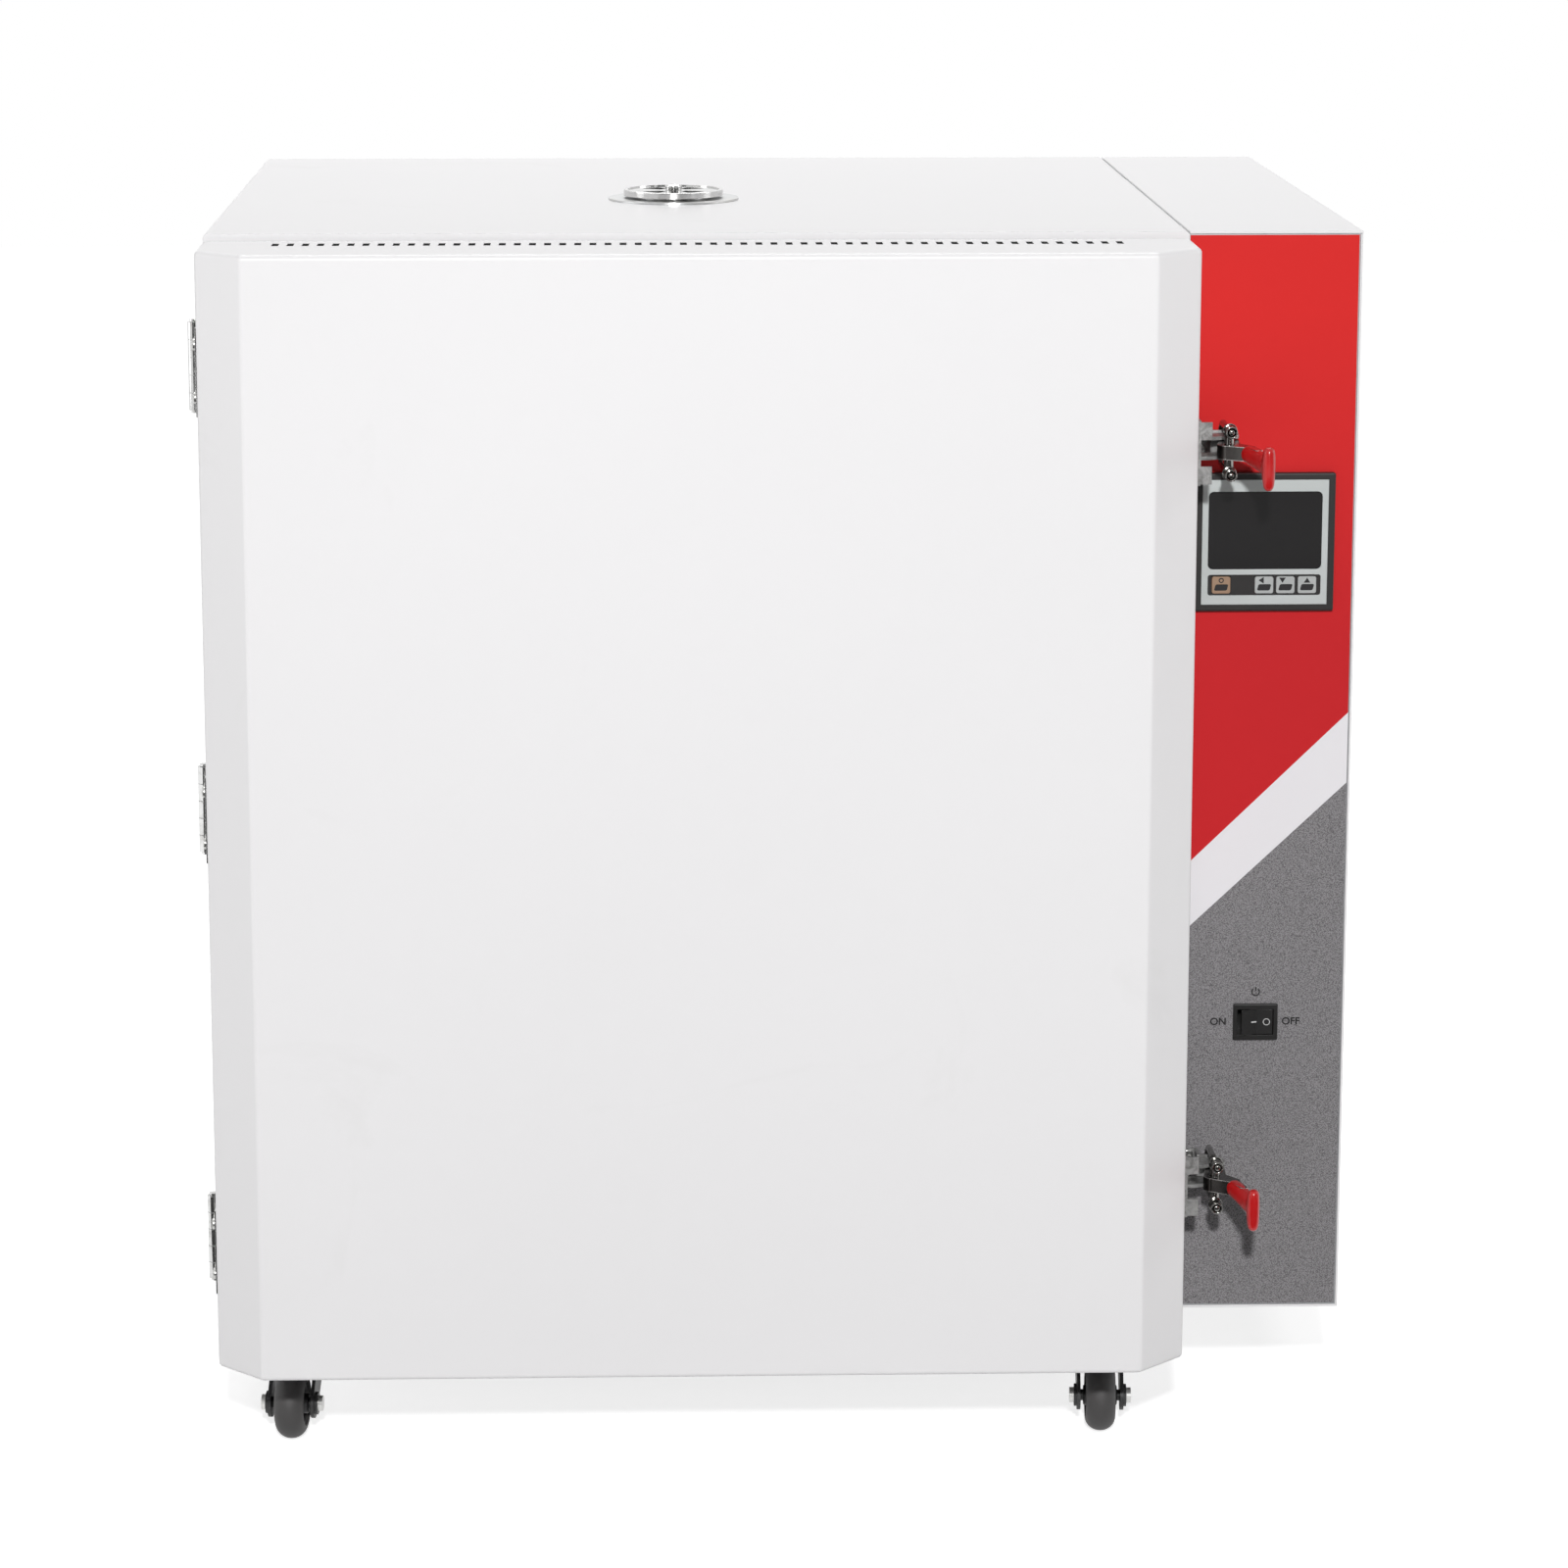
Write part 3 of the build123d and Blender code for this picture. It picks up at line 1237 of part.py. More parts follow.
with BuildPart() as castor_plates:
    plate_z = (case_bottom - castor_plate_t, case_bottom)
    for x, y in castor_places.values():
        block(about(x, castor_plate[0]), about(y, castor_plate[1]), plate_z)
    drill(castor_bolt_seats, (0, 0, -1), bolt_r + seat_gap, 2 * castor_plate_t)
    for x, y in castor_places.values():
        king_z = (crown_z[0] - fit - king_head, plate_z[0])
        rod((x, y, sum(king_z) / 2), king_r, king_z[1] - king_z[0])
        rod((x, y, king_z[0] + king_head / 2), king_r + 3, king_head)
save(castor_plates, "castor_plates")

with BuildPart() as castor_bolts:
    set_fasteners(
        hex_bolt(castor_plate_t + sheet + screw_space - wool_gap), castor_bolt_seats, (0, 0, -1),
    )
save(castor_bolts, "castor_bolts")
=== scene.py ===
import math

import bmesh
import bpy
from mathutils import Matrix, Vector


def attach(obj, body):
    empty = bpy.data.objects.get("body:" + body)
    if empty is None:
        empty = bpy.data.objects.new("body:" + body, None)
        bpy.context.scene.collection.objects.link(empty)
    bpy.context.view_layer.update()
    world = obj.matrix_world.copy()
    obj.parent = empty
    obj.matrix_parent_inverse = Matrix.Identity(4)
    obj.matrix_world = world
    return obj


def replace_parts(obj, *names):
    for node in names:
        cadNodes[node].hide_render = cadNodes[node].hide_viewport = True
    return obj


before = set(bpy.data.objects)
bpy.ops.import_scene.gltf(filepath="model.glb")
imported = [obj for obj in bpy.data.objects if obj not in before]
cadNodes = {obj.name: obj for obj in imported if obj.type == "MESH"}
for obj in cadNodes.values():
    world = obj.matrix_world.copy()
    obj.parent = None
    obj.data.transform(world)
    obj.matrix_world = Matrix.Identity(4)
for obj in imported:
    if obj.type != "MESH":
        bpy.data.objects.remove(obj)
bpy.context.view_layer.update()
print("frame loaded:", len(cadNodes), "nodes")

millimetre = 0.001


# Small helpers

def srgb(red, green, blue):
    # A colour picked from a screen, as the linear colour that a socket takes
    def toLinear(value):
        value = value / 255
        return value / 12.92 if value <= 0.04045 else ((value + 0.055) / 1.055) ** 2.4
    return (toLinear(red), toLinear(green), toLinear(blue), 1.0)


def addNode(tree, kind, inputs=None, **settings):
    node = tree.nodes.new("ShaderNode" + kind)
    for name, value in settings.items():
        setattr(node, name, value)
    for name, value in (inputs or {}).items():
        if isinstance(value, bpy.types.NodeSocket):
            tree.links.new(value, node.inputs[name])
        else:
            node.inputs[name].default_value = value
    return node


def addMath(tree, operation, *values, clamp=False):
    node = addNode(tree, "Math", dict(enumerate(values)), operation=operation, use_clamp=clamp)
    return node.outputs[0]


def mixColours(tree, factor, first, second):
    node = addNode(tree, "Mix", {0: factor, 6: first, 7: second}, data_type="RGBA")
    return node.outputs[2]


def spread(tree, value, low, high, newLow, newHigh):
    # Map Range, clamped
    node = addNode(tree, "MapRange", {0: value, 1: low, 2: high, 3: newLow, 4: newHigh})
    return node.outputs[0]


# Shared shader effects

def startGroup(name, inputs, outputs):
    group = bpy.data.node_groups.new(name, "ShaderNodeTree")
    for label, kind, value in inputs:
        socket = group.interface.new_socket(name=label, in_out="INPUT", socket_type=kind)
        if value is not None:
            socket.default_value = value
    for label, kind in outputs:
        group.interface.new_socket(name=label, in_out="OUTPUT", socket_type=kind)
    entry = group.nodes.new("NodeGroupInput")
    leave = group.nodes.new("NodeGroupOutput")
    return group, entry.outputs, leave.inputs


def makePowderGrain():
    # Fine orange peel of sprayed or moulded surfaces, and a slow drift of tone over the sheet
    group, given, out = startGroup(
        "powderGrain",
        [("Place", "NodeSocketVector", None), ("Grain", "NodeSocketFloat", 700.0),
         ("Drift", "NodeSocketFloat", 4.0)],
        [("Height", "NodeSocketFloat"), ("Tone", "NodeSocketFloat")],
    )
    fine = addNode(group, "TexNoise", {"Vector": given["Place"], "Scale": given["Grain"], "Detail": 2.0})
    coarseScale = addMath(group, "MULTIPLY", given["Grain"], 0.23)
    coarse = addNode(group, "TexNoise", {"Vector": given["Place"], "Scale": coarseScale, "Detail": 1.0})
    drift = addNode(group, "TexNoise", {"Vector": given["Place"], "Scale": given["Drift"], "Detail": 3.0})
    height = addMath(group, "MULTIPLY_ADD", fine.outputs[0], 0.6, coarse.outputs[0])
    group.links.new(height, out["Height"])
    group.links.new(drift.outputs[0], out["Tone"])
    return group


def makeBrushedLines():
    # Long scratches of rolled or brushed sheet: Stretch says how fine they are along each axis
    group, given, out = startGroup(
        "brushedLines",
        [("Place", "NodeSocketVector", None), ("Stretch", "NodeSocketVector", (20.0, 20.0, 1500.0))],
        [("Lines", "NodeSocketFloat"), ("Cloud", "NodeSocketFloat")],
    )
    pulled = addNode(group, "Mapping", {"Vector": given["Place"], "Scale": given["Stretch"]})
    lines = addNode(group, "TexNoise", {"Vector": pulled.outputs[0], "Scale": 1.0, "Detail": 4.0})
    cloud = addNode(group, "TexNoise", {"Vector": given["Place"], "Scale": 9.0, "Detail": 3.0})
    group.links.new(lines.outputs[0], out["Lines"])
    group.links.new(cloud.outputs[0], out["Cloud"])
    return group


def makeHandlingMarks():
    # Faint smears left by hands and wiping
    group, given, out = startGroup(
        "handlingMarks",
        [("Place", "NodeSocketVector", None), ("Size", "NodeSocketFloat", 14.0),
         ("Cover", "NodeSocketFloat", 0.4)],
        [("Marks", "NodeSocketFloat")],
    )
    smear = addNode(group, "TexNoise", {
        "Vector": given["Place"], "Scale": given["Size"], "Detail": 6.0, "Roughness": 0.62,
        "Distortion": 1.4,
    })
    edge = addMath(group, "SUBTRACT", 0.75, given["Cover"])
    upper = addMath(group, "ADD", edge, 0.25)
    marks = addNode(group, "MapRange", {0: smear.outputs[0], 1: edge, 2: upper})
    group.links.new(marks.outputs[0], out["Marks"])
    return group


def makeSpeckle():
    # Two-tone sand of printed grey ink and of cast metal
    group, given, out = startGroup(
        "speckle",
        [("Place", "NodeSocketVector", None), ("Grain", "NodeSocketFloat", 900.0)],
        [("Grains", "NodeSocketFloat")],
    )
    sand = addNode(group, "TexNoise", {"Vector": given["Place"], "Scale": given["Grain"], "Detail": 3.0,
                                       "Roughness": 0.8})
    cells = addNode(group, "TexVoronoi", {"Vector": given["Place"], "Scale": given["Grain"]})
    both = addMath(group, "MULTIPLY", sand.outputs[0], cells.outputs[0])
    grains = addNode(group, "MapRange", {0: both, 1: 0.12, 2: 0.38})
    group.links.new(grains.outputs[0], out["Grains"])
    return group


def makeInsideMask():
    # 1 where a point lies within a box, which is the inside of a sheet shell
    group, given, out = startGroup(
        "insideMask",
        [("Place", "NodeSocketVector", None), ("Low", "NodeSocketVector", None),
         ("High", "NodeSocketVector", None)],
        [("Inside", "NodeSocketFloat")],
    )
    aboveLow = addNode(group, "VectorMath", {0: given["Place"], 1: given["Low"]}, operation="SUBTRACT")
    belowHigh = addNode(group, "VectorMath", {0: given["High"], 1: given["Place"]}, operation="SUBTRACT")
    ends = {0: aboveLow.outputs[0], 1: belowHigh.outputs[0]}
    nearest = addNode(group, "VectorMath", ends, operation="MINIMUM").outputs[0]
    axes = addNode(group, "SeparateXYZ", {0: nearest}).outputs
    least = addMath(group, "MINIMUM", axes["X"], addMath(group, "MINIMUM", axes["Y"], axes["Z"]))
    group.links.new(addMath(group, "GREATER_THAN", least, 0.0), out["Inside"])
    return group


def makeBeyondPlates():
    # 1 where a point lies further than Half from Centre, measured along a line
    group, given, out = startGroup(
        "beyondPlates",
        [("Place", "NodeSocketVector", None), ("Centre", "NodeSocketVector", None),
         ("Along", "NodeSocketVector", None), ("Half", "NodeSocketFloat", 0.02)],
        [("Outside", "NodeSocketFloat")],
    )
    offset = addNode(group, "VectorMath", {0: given["Place"], 1: given["Centre"]}, operation="SUBTRACT")
    reach = addNode(group, "VectorMath", {0: offset.outputs[0], 1: given["Along"]}, operation="DOT_PRODUCT")
    far = addMath(group, "ABSOLUTE", reach.outputs["Value"])
    group.links.new(addMath(group, "GREATER_THAN", far, given["Half"]), out["Outside"])
    return group


effects = {
    "powderGrain": makePowderGrain(),
    "brushedLines": makeBrushedLines(),
    "handlingMarks": makeHandlingMarks(),
    "speckle": makeSpeckle(),
    "insideMask": makeInsideMask(),
    "beyondPlates": makeBeyondPlates(),
}
print("shared effects made:", len(effects))


def placeEffect(tree, name, **values):
    node = tree.nodes.new("ShaderNodeGroup")
    node.node_tree = effects[name]
    for label, value in values.items():
        if isinstance(value, bpy.types.NodeSocket):
            tree.links.new(value, node.inputs[label])
        else:
            node.inputs[label].default_value = value
    return node.outputs


def startMaterial(name, roughness, metallic=0.0, **plain):
    material = bpy.data.materials.new(name)
    material.use_nodes = True
    tree = material.node_tree
    shader = tree.nodes["Principled BSDF"]
    shader.inputs["Roughness"].default_value = roughness
    shader.inputs["Metallic"].default_value = metallic
    for label, value in plain.items():
        shader.inputs[label.replace("_", " ")].default_value = value
    place = tree.nodes.new("ShaderNodeTexCoord").outputs["Object"]
    return material, tree, shader.inputs, place


def addRelief(tree, sockets, height, depth, softEdge=0.0):
    # Relief of a fraction of a millimetre, on corners softened by the width softEdge
    bump = addNode(tree, "Bump", {"Height": height, "Distance": depth, "Strength": 1.0})
    if softEdge:
        corner = addNode(tree, "Bevel", {"Radius": softEdge}, samples=4)
        tree.links.new(corner.outputs[0], bump.inputs["Normal"])
    tree.links.new(bump.outputs[0], sockets["Normal"])


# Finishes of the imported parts

def makePowderCoat(name, look):
    material, tree, sockets, place = startMaterial(name, look["roughness"], Specular_IOR_Level=look["sheen"])
    grain = placeEffect(tree, "powderGrain", Place=place, Grain=look["grain"], Drift=look["drift"])
    marks = placeEffect(tree, "handlingMarks", Place=place, Size=look["markSize"], Cover=look["markCover"])
    tone = mixColours(tree, grain["Tone"], look["shade"], look["colour"])
    tone = mixColours(tree, marks["Marks"], tone, look["smear"])
    # Painted shade: points inside the box take a dark colour where only shade falls
    if "insideBox" in look:
        low, high = look["insideBox"]
        inside = placeEffect(tree, "insideMask", Place=place, Low=low, High=high)["Inside"]
        tone = mixColours(tree, inside, tone, look["paintedShadeInside"])
    tree.links.new(tone, sockets["Base Color"])
    rough = addMath(tree, "MULTIPLY_ADD", marks["Marks"], look["markRough"], look["roughness"])
    tree.links.new(rough, sockets["Roughness"])
    addRelief(tree, sockets, grain["Height"], look["depth"], look["softEdge"])
    return material


def findEdges(tree, look):
    # 1 along corners, where the softened normal leaves the true one
    softened = addNode(tree, "Bevel", {"Radius": look["edgeWidth"]}, samples=6).outputs[0]
    true = addNode(tree, "NewGeometry").outputs["Normal"]
    agree = addNode(tree, "VectorMath", {0: softened, 1: true}, operation="DOT_PRODUCT").outputs["Value"]
    return spread(tree, agree, *look["edgeAgree"], 0.0, 1.0)


def makeBrushedMetal(name, look):
    material, tree, sockets, place = startMaterial(name, look["roughness"], look.get("metal", 1.0))
    brushed = placeEffect(tree, "brushedLines", Place=place, Stretch=look["stretch"])
    marks = placeEffect(tree, "handlingMarks", Place=place, Size=look["markSize"], Cover=look["markCover"])
    tone = mixColours(tree, brushed["Cloud"], look["dark"], look["light"])
    tone = mixColours(tree, marks["Marks"], tone, look["smear"])
    # Painted highlight: corners found by findEdges take the pale edge colour
    if "edge" in look:
        tone = mixColours(tree, findEdges(tree, look), tone, look["edge"])
    tree.links.new(tone, sockets["Base Color"])
    rough = addMath(tree, "MULTIPLY_ADD", brushed["Lines"], look["lineRough"], look["roughness"])
    rough = addMath(tree, "MULTIPLY_ADD", marks["Marks"], look["markRough"], rough)
    tree.links.new(rough, sockets["Roughness"])
    addRelief(tree, sockets, brushed["Lines"], look["depth"], look["softEdge"])
    return material


def makeMoulded(name, look):
    material, tree, sockets, place = startMaterial(
        name, look["roughness"], Specular_IOR_Level=look.get("sheen", 0.5),
        Coat_Weight=look.get("coat", 0.0), Coat_Roughness=look.get("coatRough", 0.0),
    )
    grain = placeEffect(tree, "powderGrain", Place=place, Grain=look["grain"], Drift=look["drift"])
    tone = mixColours(tree, grain["Tone"], look["shade"], look["colour"])
    tree.links.new(tone, sockets["Base Color"])
    rough = addMath(tree, "MULTIPLY_ADD", grain["Tone"], look["roughSpread"], look["roughness"])
    tree.links.new(rough, sockets["Roughness"])
    addRelief(tree, sockets, grain["Height"], look["depth"], look["softEdge"])
    return material


powderLooks = {
    "casePowder": {
        "colour": srgb(240, 239, 240), "shade": srgb(236, 235, 236), "smear": srgb(231, 230, 230),
        "roughness": 0.36, "sheen": 0.45, "grain": 620.0, "drift": 2.6, "markSize": 5.0, "markCover": 0.12,
        "markRough": 0.08, "depth": 0.00004, "softEdge": 0.0008,
    },
    "doorPowder": {
        "colour": srgb(240, 239, 240), "shade": srgb(236, 235, 236), "smear": srgb(231, 230, 230),
        "roughness": 0.36, "sheen": 0.45, "grain": 620.0, "drift": 2.6, "markSize": 5.0, "markCover": 0.12,
        "markRough": 0.08, "depth": 0.00004, "softEdge": 0.0008,
        # Painted shade: the room behind the air slots is coloured dark in place of the shade that fills it,
        # so the slots read dark
        "insideBox": ((-0.354, -0.3518, 0.0787), (0.2445, -0.272, 0.84985)), "paintedShadeInside": srgb(34, 34, 35),
    },
    "forkPaint": {
        "colour": srgb(30, 30, 31), "shade": srgb(20, 20, 21), "smear": srgb(70, 70, 70),
        "roughness": 0.42, "sheen": 0.5, "grain": 900.0, "drift": 30.0, "markSize": 60.0, "markCover": 0.25,
        "markRough": 0.2, "depth": 0.00006, "softEdge": 0.0005,
    },
    "motorEnamel": {
        "colour": srgb(92, 98, 104), "shade": srgb(78, 84, 90), "smear": srgb(60, 62, 64),
        "roughness": 0.45, "sheen": 0.5, "grain": 800.0, "drift": 12.0, "markSize": 30.0, "markCover": 0.3,
        "markRough": 0.15, "depth": 0.00008, "softEdge": 0.0006,
    },
}

metalLooks = {
    "galvanisedSheet": {
        "light": srgb(196, 199, 202), "dark": srgb(160, 164, 168), "smear": srgb(178, 180, 182),
        "stretch": (90.0, 90.0, 90.0), "roughness": 0.32, "lineRough": 0.2, "markSize": 22.0,
        "markCover": 0.35, "markRough": 0.1, "depth": 0.00003, "softEdge": 0.0004,
    },
    "brushedStainless": {
        "light": srgb(205, 206, 206), "dark": srgb(184, 185, 186), "smear": srgb(188, 186, 182),
        "stretch": (12.0, 12.0, 1400.0), "roughness": 0.2, "lineRough": 0.22, "markSize": 9.0,
        "markCover": 0.25, "markRough": 0.08, "depth": 0.00003, "softEdge": 0.0006,
    },
    "polishedSteel": {
        "light": srgb(212, 212, 211), "dark": srgb(192, 192, 192), "smear": srgb(170, 169, 167),
        "stretch": (300.0, 300.0, 300.0), "roughness": 0.08, "lineRough": 0.06, "markSize": 80.0,
        "markCover": 0.25, "markRough": 0.1, "depth": 0.000004, "softEdge": 0.0004,
    },
    "clampSteel": {
        "light": srgb(158, 157, 154), "dark": srgb(124, 122, 119), "smear": srgb(98, 95, 91),
        "stretch": (200.0, 200.0, 200.0), "roughness": 0.1, "lineRough": 0.05, "markSize": 110.0,
        "markCover": 0.2, "markRough": 0.1, "depth": 0.000004, "softEdge": 0.0004,
    },
    # Painted reflection and highlight: the dark base colours stand in for the dark reflections and shade in
    # the lever's channel, and the pale edge colour is a painted highlight along its bends
    "leverSteel": {
        "light": srgb(92, 90, 88), "dark": srgb(66, 64, 62), "smear": srgb(58, 56, 54),
        "stretch": (200.0, 200.0, 200.0), "roughness": 0.14, "lineRough": 0.08, "markSize": 110.0,
        "markCover": 0.2, "markRough": 0.1, "depth": 0.000004, "softEdge": 0.0004,
        "edge": srgb(222, 221, 218), "edgeWidth": 0.0011, "edgeAgree": (0.995, 0.9),
    },
    "stampedSteel": {
        "light": srgb(186, 186, 185), "dark": srgb(142, 142, 141), "smear": srgb(112, 111, 110),
        "stretch": (900.0, 900.0, 240.0), "roughness": 0.34, "lineRough": 0.25, "markSize": 90.0,
        "markCover": 0.35, "markRough": 0.1, "depth": 0.00005, "softEdge": 0.0005, "metal": 0.5,
    },
    "chromedWire": {
        "light": srgb(216, 217, 219), "dark": srgb(200, 201, 204), "smear": srgb(180, 180, 180),
        "stretch": (400.0, 400.0, 400.0), "roughness": 0.08, "lineRough": 0.06, "markSize": 40.0,
        "markCover": 0.2, "markRough": 0.12, "depth": 0.00001, "softEdge": 0.0,
    },
    "zincScrews": {
        "light": srgb(198, 198, 196), "dark": srgb(165, 165, 163), "smear": srgb(140, 139, 136),
        "stretch": (600.0, 600.0, 600.0), "roughness": 0.2, "lineRough": 0.15, "markSize": 120.0,
        "markCover": 0.3, "markRough": 0.15, "depth": 0.00003, "softEdge": 0.0003,
    },
    "faceplateSilver": {
        "light": srgb(208, 213, 212), "dark": srgb(176, 181, 180), "smear": srgb(196, 200, 199),
        "stretch": (60.0, 60.0, 240.0), "roughness": 0.34, "lineRough": 0.16, "markSize": 30.0,
        "markCover": 0.1, "markRough": 0.05, "depth": 0.00001, "softEdge": 0.0003, "metal": 0.25,
    },
}

mouldedLooks = {
    "bezelBlack": {
        "colour": srgb(36, 33, 32), "shade": srgb(27, 25, 25), "roughness": 0.38, "roughSpread": 0.1,
        "grain": 1500.0, "drift": 30.0, "depth": 0.00003, "softEdge": 0.0005,
    },
    "displayBlack": {
        "colour": srgb(23, 21, 22), "shade": srgb(19, 17, 18), "roughness": 0.1, "roughSpread": 0.04,
        "grain": 300.0, "drift": 20.0, "depth": 0.000002, "softEdge": 0.0002, "sheen": 0.2,
    },
    "switchBlack": {
        "colour": srgb(34, 33, 33), "shade": srgb(26, 26, 26), "roughness": 0.3, "roughSpread": 0.12,
        "grain": 1500.0, "drift": 40.0, "depth": 0.00003, "softEdge": 0.0006,
    },
    "keyLight": {
        "colour": srgb(178, 181, 180), "shade": srgb(164, 167, 166), "roughness": 0.42, "roughSpread": 0.1,
        "grain": 1800.0, "drift": 60.0, "depth": 0.00003, "softEdge": 0.0005,
    },
    "keyBronze": {
        "colour": srgb(158, 130, 106), "shade": srgb(144, 115, 92), "roughness": 0.42, "roughSpread": 0.1,
        "grain": 1800.0, "drift": 60.0, "depth": 0.00003, "softEdge": 0.0005,
    },
    "gripRed": {
        "colour": srgb(196, 20, 22), "shade": srgb(176, 14, 18), "roughness": 0.24, "roughSpread": 0.1,
        "grain": 260.0, "drift": 50.0, "depth": 0.00014, "softEdge": 0.0, "coat": 0.3, "coatRough": 0.12,
        "sheen": 0.35,
    },
    "siliconeSeal": {
        "colour": srgb(198, 196, 190), "shade": srgb(184, 181, 175), "roughness": 0.5, "roughSpread": 0.15,
        "grain": 900.0, "drift": 20.0, "depth": 0.00006, "softEdge": 0.0008,
    },
    "mineralWool": {
        "colour": srgb(188, 172, 120), "shade": srgb(150, 134, 88), "roughness": 0.9, "roughSpread": 0.05,
        "grain": 260.0, "drift": 40.0, "depth": 0.0015, "softEdge": 0.0,
    },
    "wheelRubber": {
        "colour": srgb(66, 64, 64), "shade": srgb(54, 53, 53), "roughness": 0.5, "roughSpread": 0.15,
        "grain": 700.0, "drift": 60.0, "depth": 0.00008, "softEdge": 0.0006,
    },
    "relayFinish": {
        "colour": srgb(58, 60, 62), "shade": srgb(44, 46, 48), "roughness": 0.4, "roughSpread": 0.15,
        "grain": 1100.0, "drift": 30.0, "depth": 0.00005, "softEdge": 0.0006,
    },
    "terminalPlastic": {
        "colour": srgb(206, 202, 190), "shade": srgb(190, 186, 172), "roughness": 0.5, "roughSpread": 0.1,
        "grain": 1100.0, "drift": 30.0, "depth": 0.00005, "softEdge": 0.0006,
    },
    "glandNylon": {
        "colour": srgb(34, 34, 35), "shade": srgb(26, 26, 27), "roughness": 0.46, "roughSpread": 0.12,
        "grain": 1300.0, "drift": 60.0, "depth": 0.00005, "softEdge": 0.0006,
    },
}

finishes = {name: makePowderCoat(name, look) for name, look in powderLooks.items()}
finishes.update({name: makeBrushedMetal(name, look) for name, look in metalLooks.items()})
finishes.update({name: makeMoulded(name, look) for name, look in mouldedLooks.items()})


# Printed film of the control column: red over a white band over sanded grey

filmLook = {
    "redHigh": srgb(220, 45, 44), "redLow": srgb(200, 39, 44), "redFade": (0.58, 0.8),
    "redShade": 0.94, "white": srgb(230, 228, 231),
    "grey": srgb(152, 150, 152), "greyDark": srgb(99, 97, 99),
    # Slanting edges: height at the left edge of the column, and slope
    "left": 0.28975, "redLine": (0.4184, 0.9741), "greyLine": (0.3716, 0.9472),
    "blur": 0.00015, "roughness": 0.34, "sheen": 0.12, "grain": 1500.0, "drift": 8.0, "depth": 0.000012,
}


def makeFilmPrint(look):
    material, tree, sockets, place = startMaterial(
        "filmPrint", look["roughness"], Specular_IOR_Level=look["sheen"])
    axes = addNode(tree, "SeparateXYZ", {0: place}).outputs
    across = addMath(tree, "SUBTRACT", axes["X"], look["left"])

    def above(line):
        # Height over a slanting colour edge, in metres
        start, slope = line
        level = addMath(tree, "MULTIPLY_ADD", across, slope, start)
        return addMath(tree, "SUBTRACT", axes["Z"], level)

    overRed = above(look["redLine"])
    overGrey = above(look["greyLine"])
    grain = placeEffect(tree, "powderGrain", Place=place, Grain=look["grain"], Drift=look["drift"])
    sand = placeEffect(tree, "speckle", Place=place, Grain=look["grain"])
    # The red runs darker towards the bottom of the column, from redHigh above to redLow below
    height = spread(tree, axes["Z"], *look["redFade"], 0.0, 1.0)
    red = mixColours(tree, height, look["redLow"], look["redHigh"])
    darker = addNode(tree, "HueSaturation", {"Value": look["redShade"], "Color": red}).outputs[0]
    red = mixColours(tree, grain["Tone"], darker, red)
    grey = mixColours(tree, sand["Grains"], look["grey"], look["greyDark"])
    isGrey = spread(tree, overGrey, -look["blur"], look["blur"], 1.0, 0.0)
    isRed = spread(tree, overRed, -look["blur"], look["blur"], 0.0, 1.0)
    colour = mixColours(tree, isGrey, look["white"], grey)
    colour = mixColours(tree, isRed, colour, red)
    tree.links.new(colour, sockets["Base Color"])
    addRelief(tree, sockets, grain["Height"], look["depth"])
    return material


finishes["filmPrint"] = makeFilmPrint(filmLook)

nodeFinishes = {
    "casePowder": ["outer_case", "column_case", "column_side_cover"],
    "doorPowder": ["door_shell"],
    "galvanisedSheet": ["rear_panel", "column_front_panel"],
    "brushedStainless": ["chamber_liner", "duct_panel", "shelf_runners", "door_inner_liner", "fan_impeller",
                         "temperature_probe", "heater_elements", "vent_pipe"],
    "stampedSteel": ["clamp_bases", "clamp_catches"],
    "clampSteel": ["upper_clamp_hook", "lower_clamp_hook"],
    "leverSteel": ["upper_clamp_lever", "lower_clamp_lever"],
    "polishedSteel": ["vent_disc", "vent_screw", "cabinet_hinge_leaves", "door_hinge_leaves", "hinge_pins"],
    "chromedWire": ["upper_shelf", "lower_shelf"],
    "zincScrews": ["cabinet_screws", "cover_screws", "door_screws", "castor_bolts"],
    "filmPrint": ["panel_overlay"],
    "bezelBlack": ["controller_housing", "controller_bezel"],
    "faceplateSilver": ["controller_faceplate"],
    "displayBlack": ["display_window"],
    "switchBlack": ["rocker_frame", "rocker_switch"],
    "keyLight": ["left_key", "down_key", "up_key"],
    "keyBronze": ["set_key"],
    "gripRed": ["upper_clamp_grip", "lower_clamp_grip"],
    "siliconeSeal": ["door_gasket"],
    "mineralWool": ["insulation", "door_insulation"],
    "forkPaint": ["castor_plates"],
    "wheelRubber": ["castor_wheel_front_left", "castor_wheel_front_right", "castor_wheel_rear_left",
                    "castor_wheel_rear_right"],
    "motorEnamel": ["fan_motor"],
    "relayFinish": ["solid_state_relay"],
    "terminalPlastic": ["terminal_block"],
    "glandNylon": ["cable_gland"],
}

for finish, members in nodeFinishes.items():
    for member in members:
        cadNodes[member].data.materials.clear()
        cadNodes[member].data.materials.append(finishes[finish])
print("finishes placed")


# Prints on the column and the keys

def addPiece(name, mesh, body, finish):
    piece = bpy.data.objects.new(name, mesh)
    bpy.context.scene.collection.objects.link(piece)
    mesh.materials.clear()
    mesh.materials.append(finishes[finish])
    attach(piece, body)
    return piece


def finishMesh(shape, name, smooth=False):
    bmesh.ops.remove_doubles(shape, verts=shape.verts, dist=1e-6)
    bmesh.ops.recalc_face_normals(shape, faces=shape.faces)
    mesh = bpy.data.meshes.new(name)
    shape.to_mesh(mesh)
    shape.free()
    for polygon in mesh.polygons:
        polygon.use_smooth = smooth
    return mesh


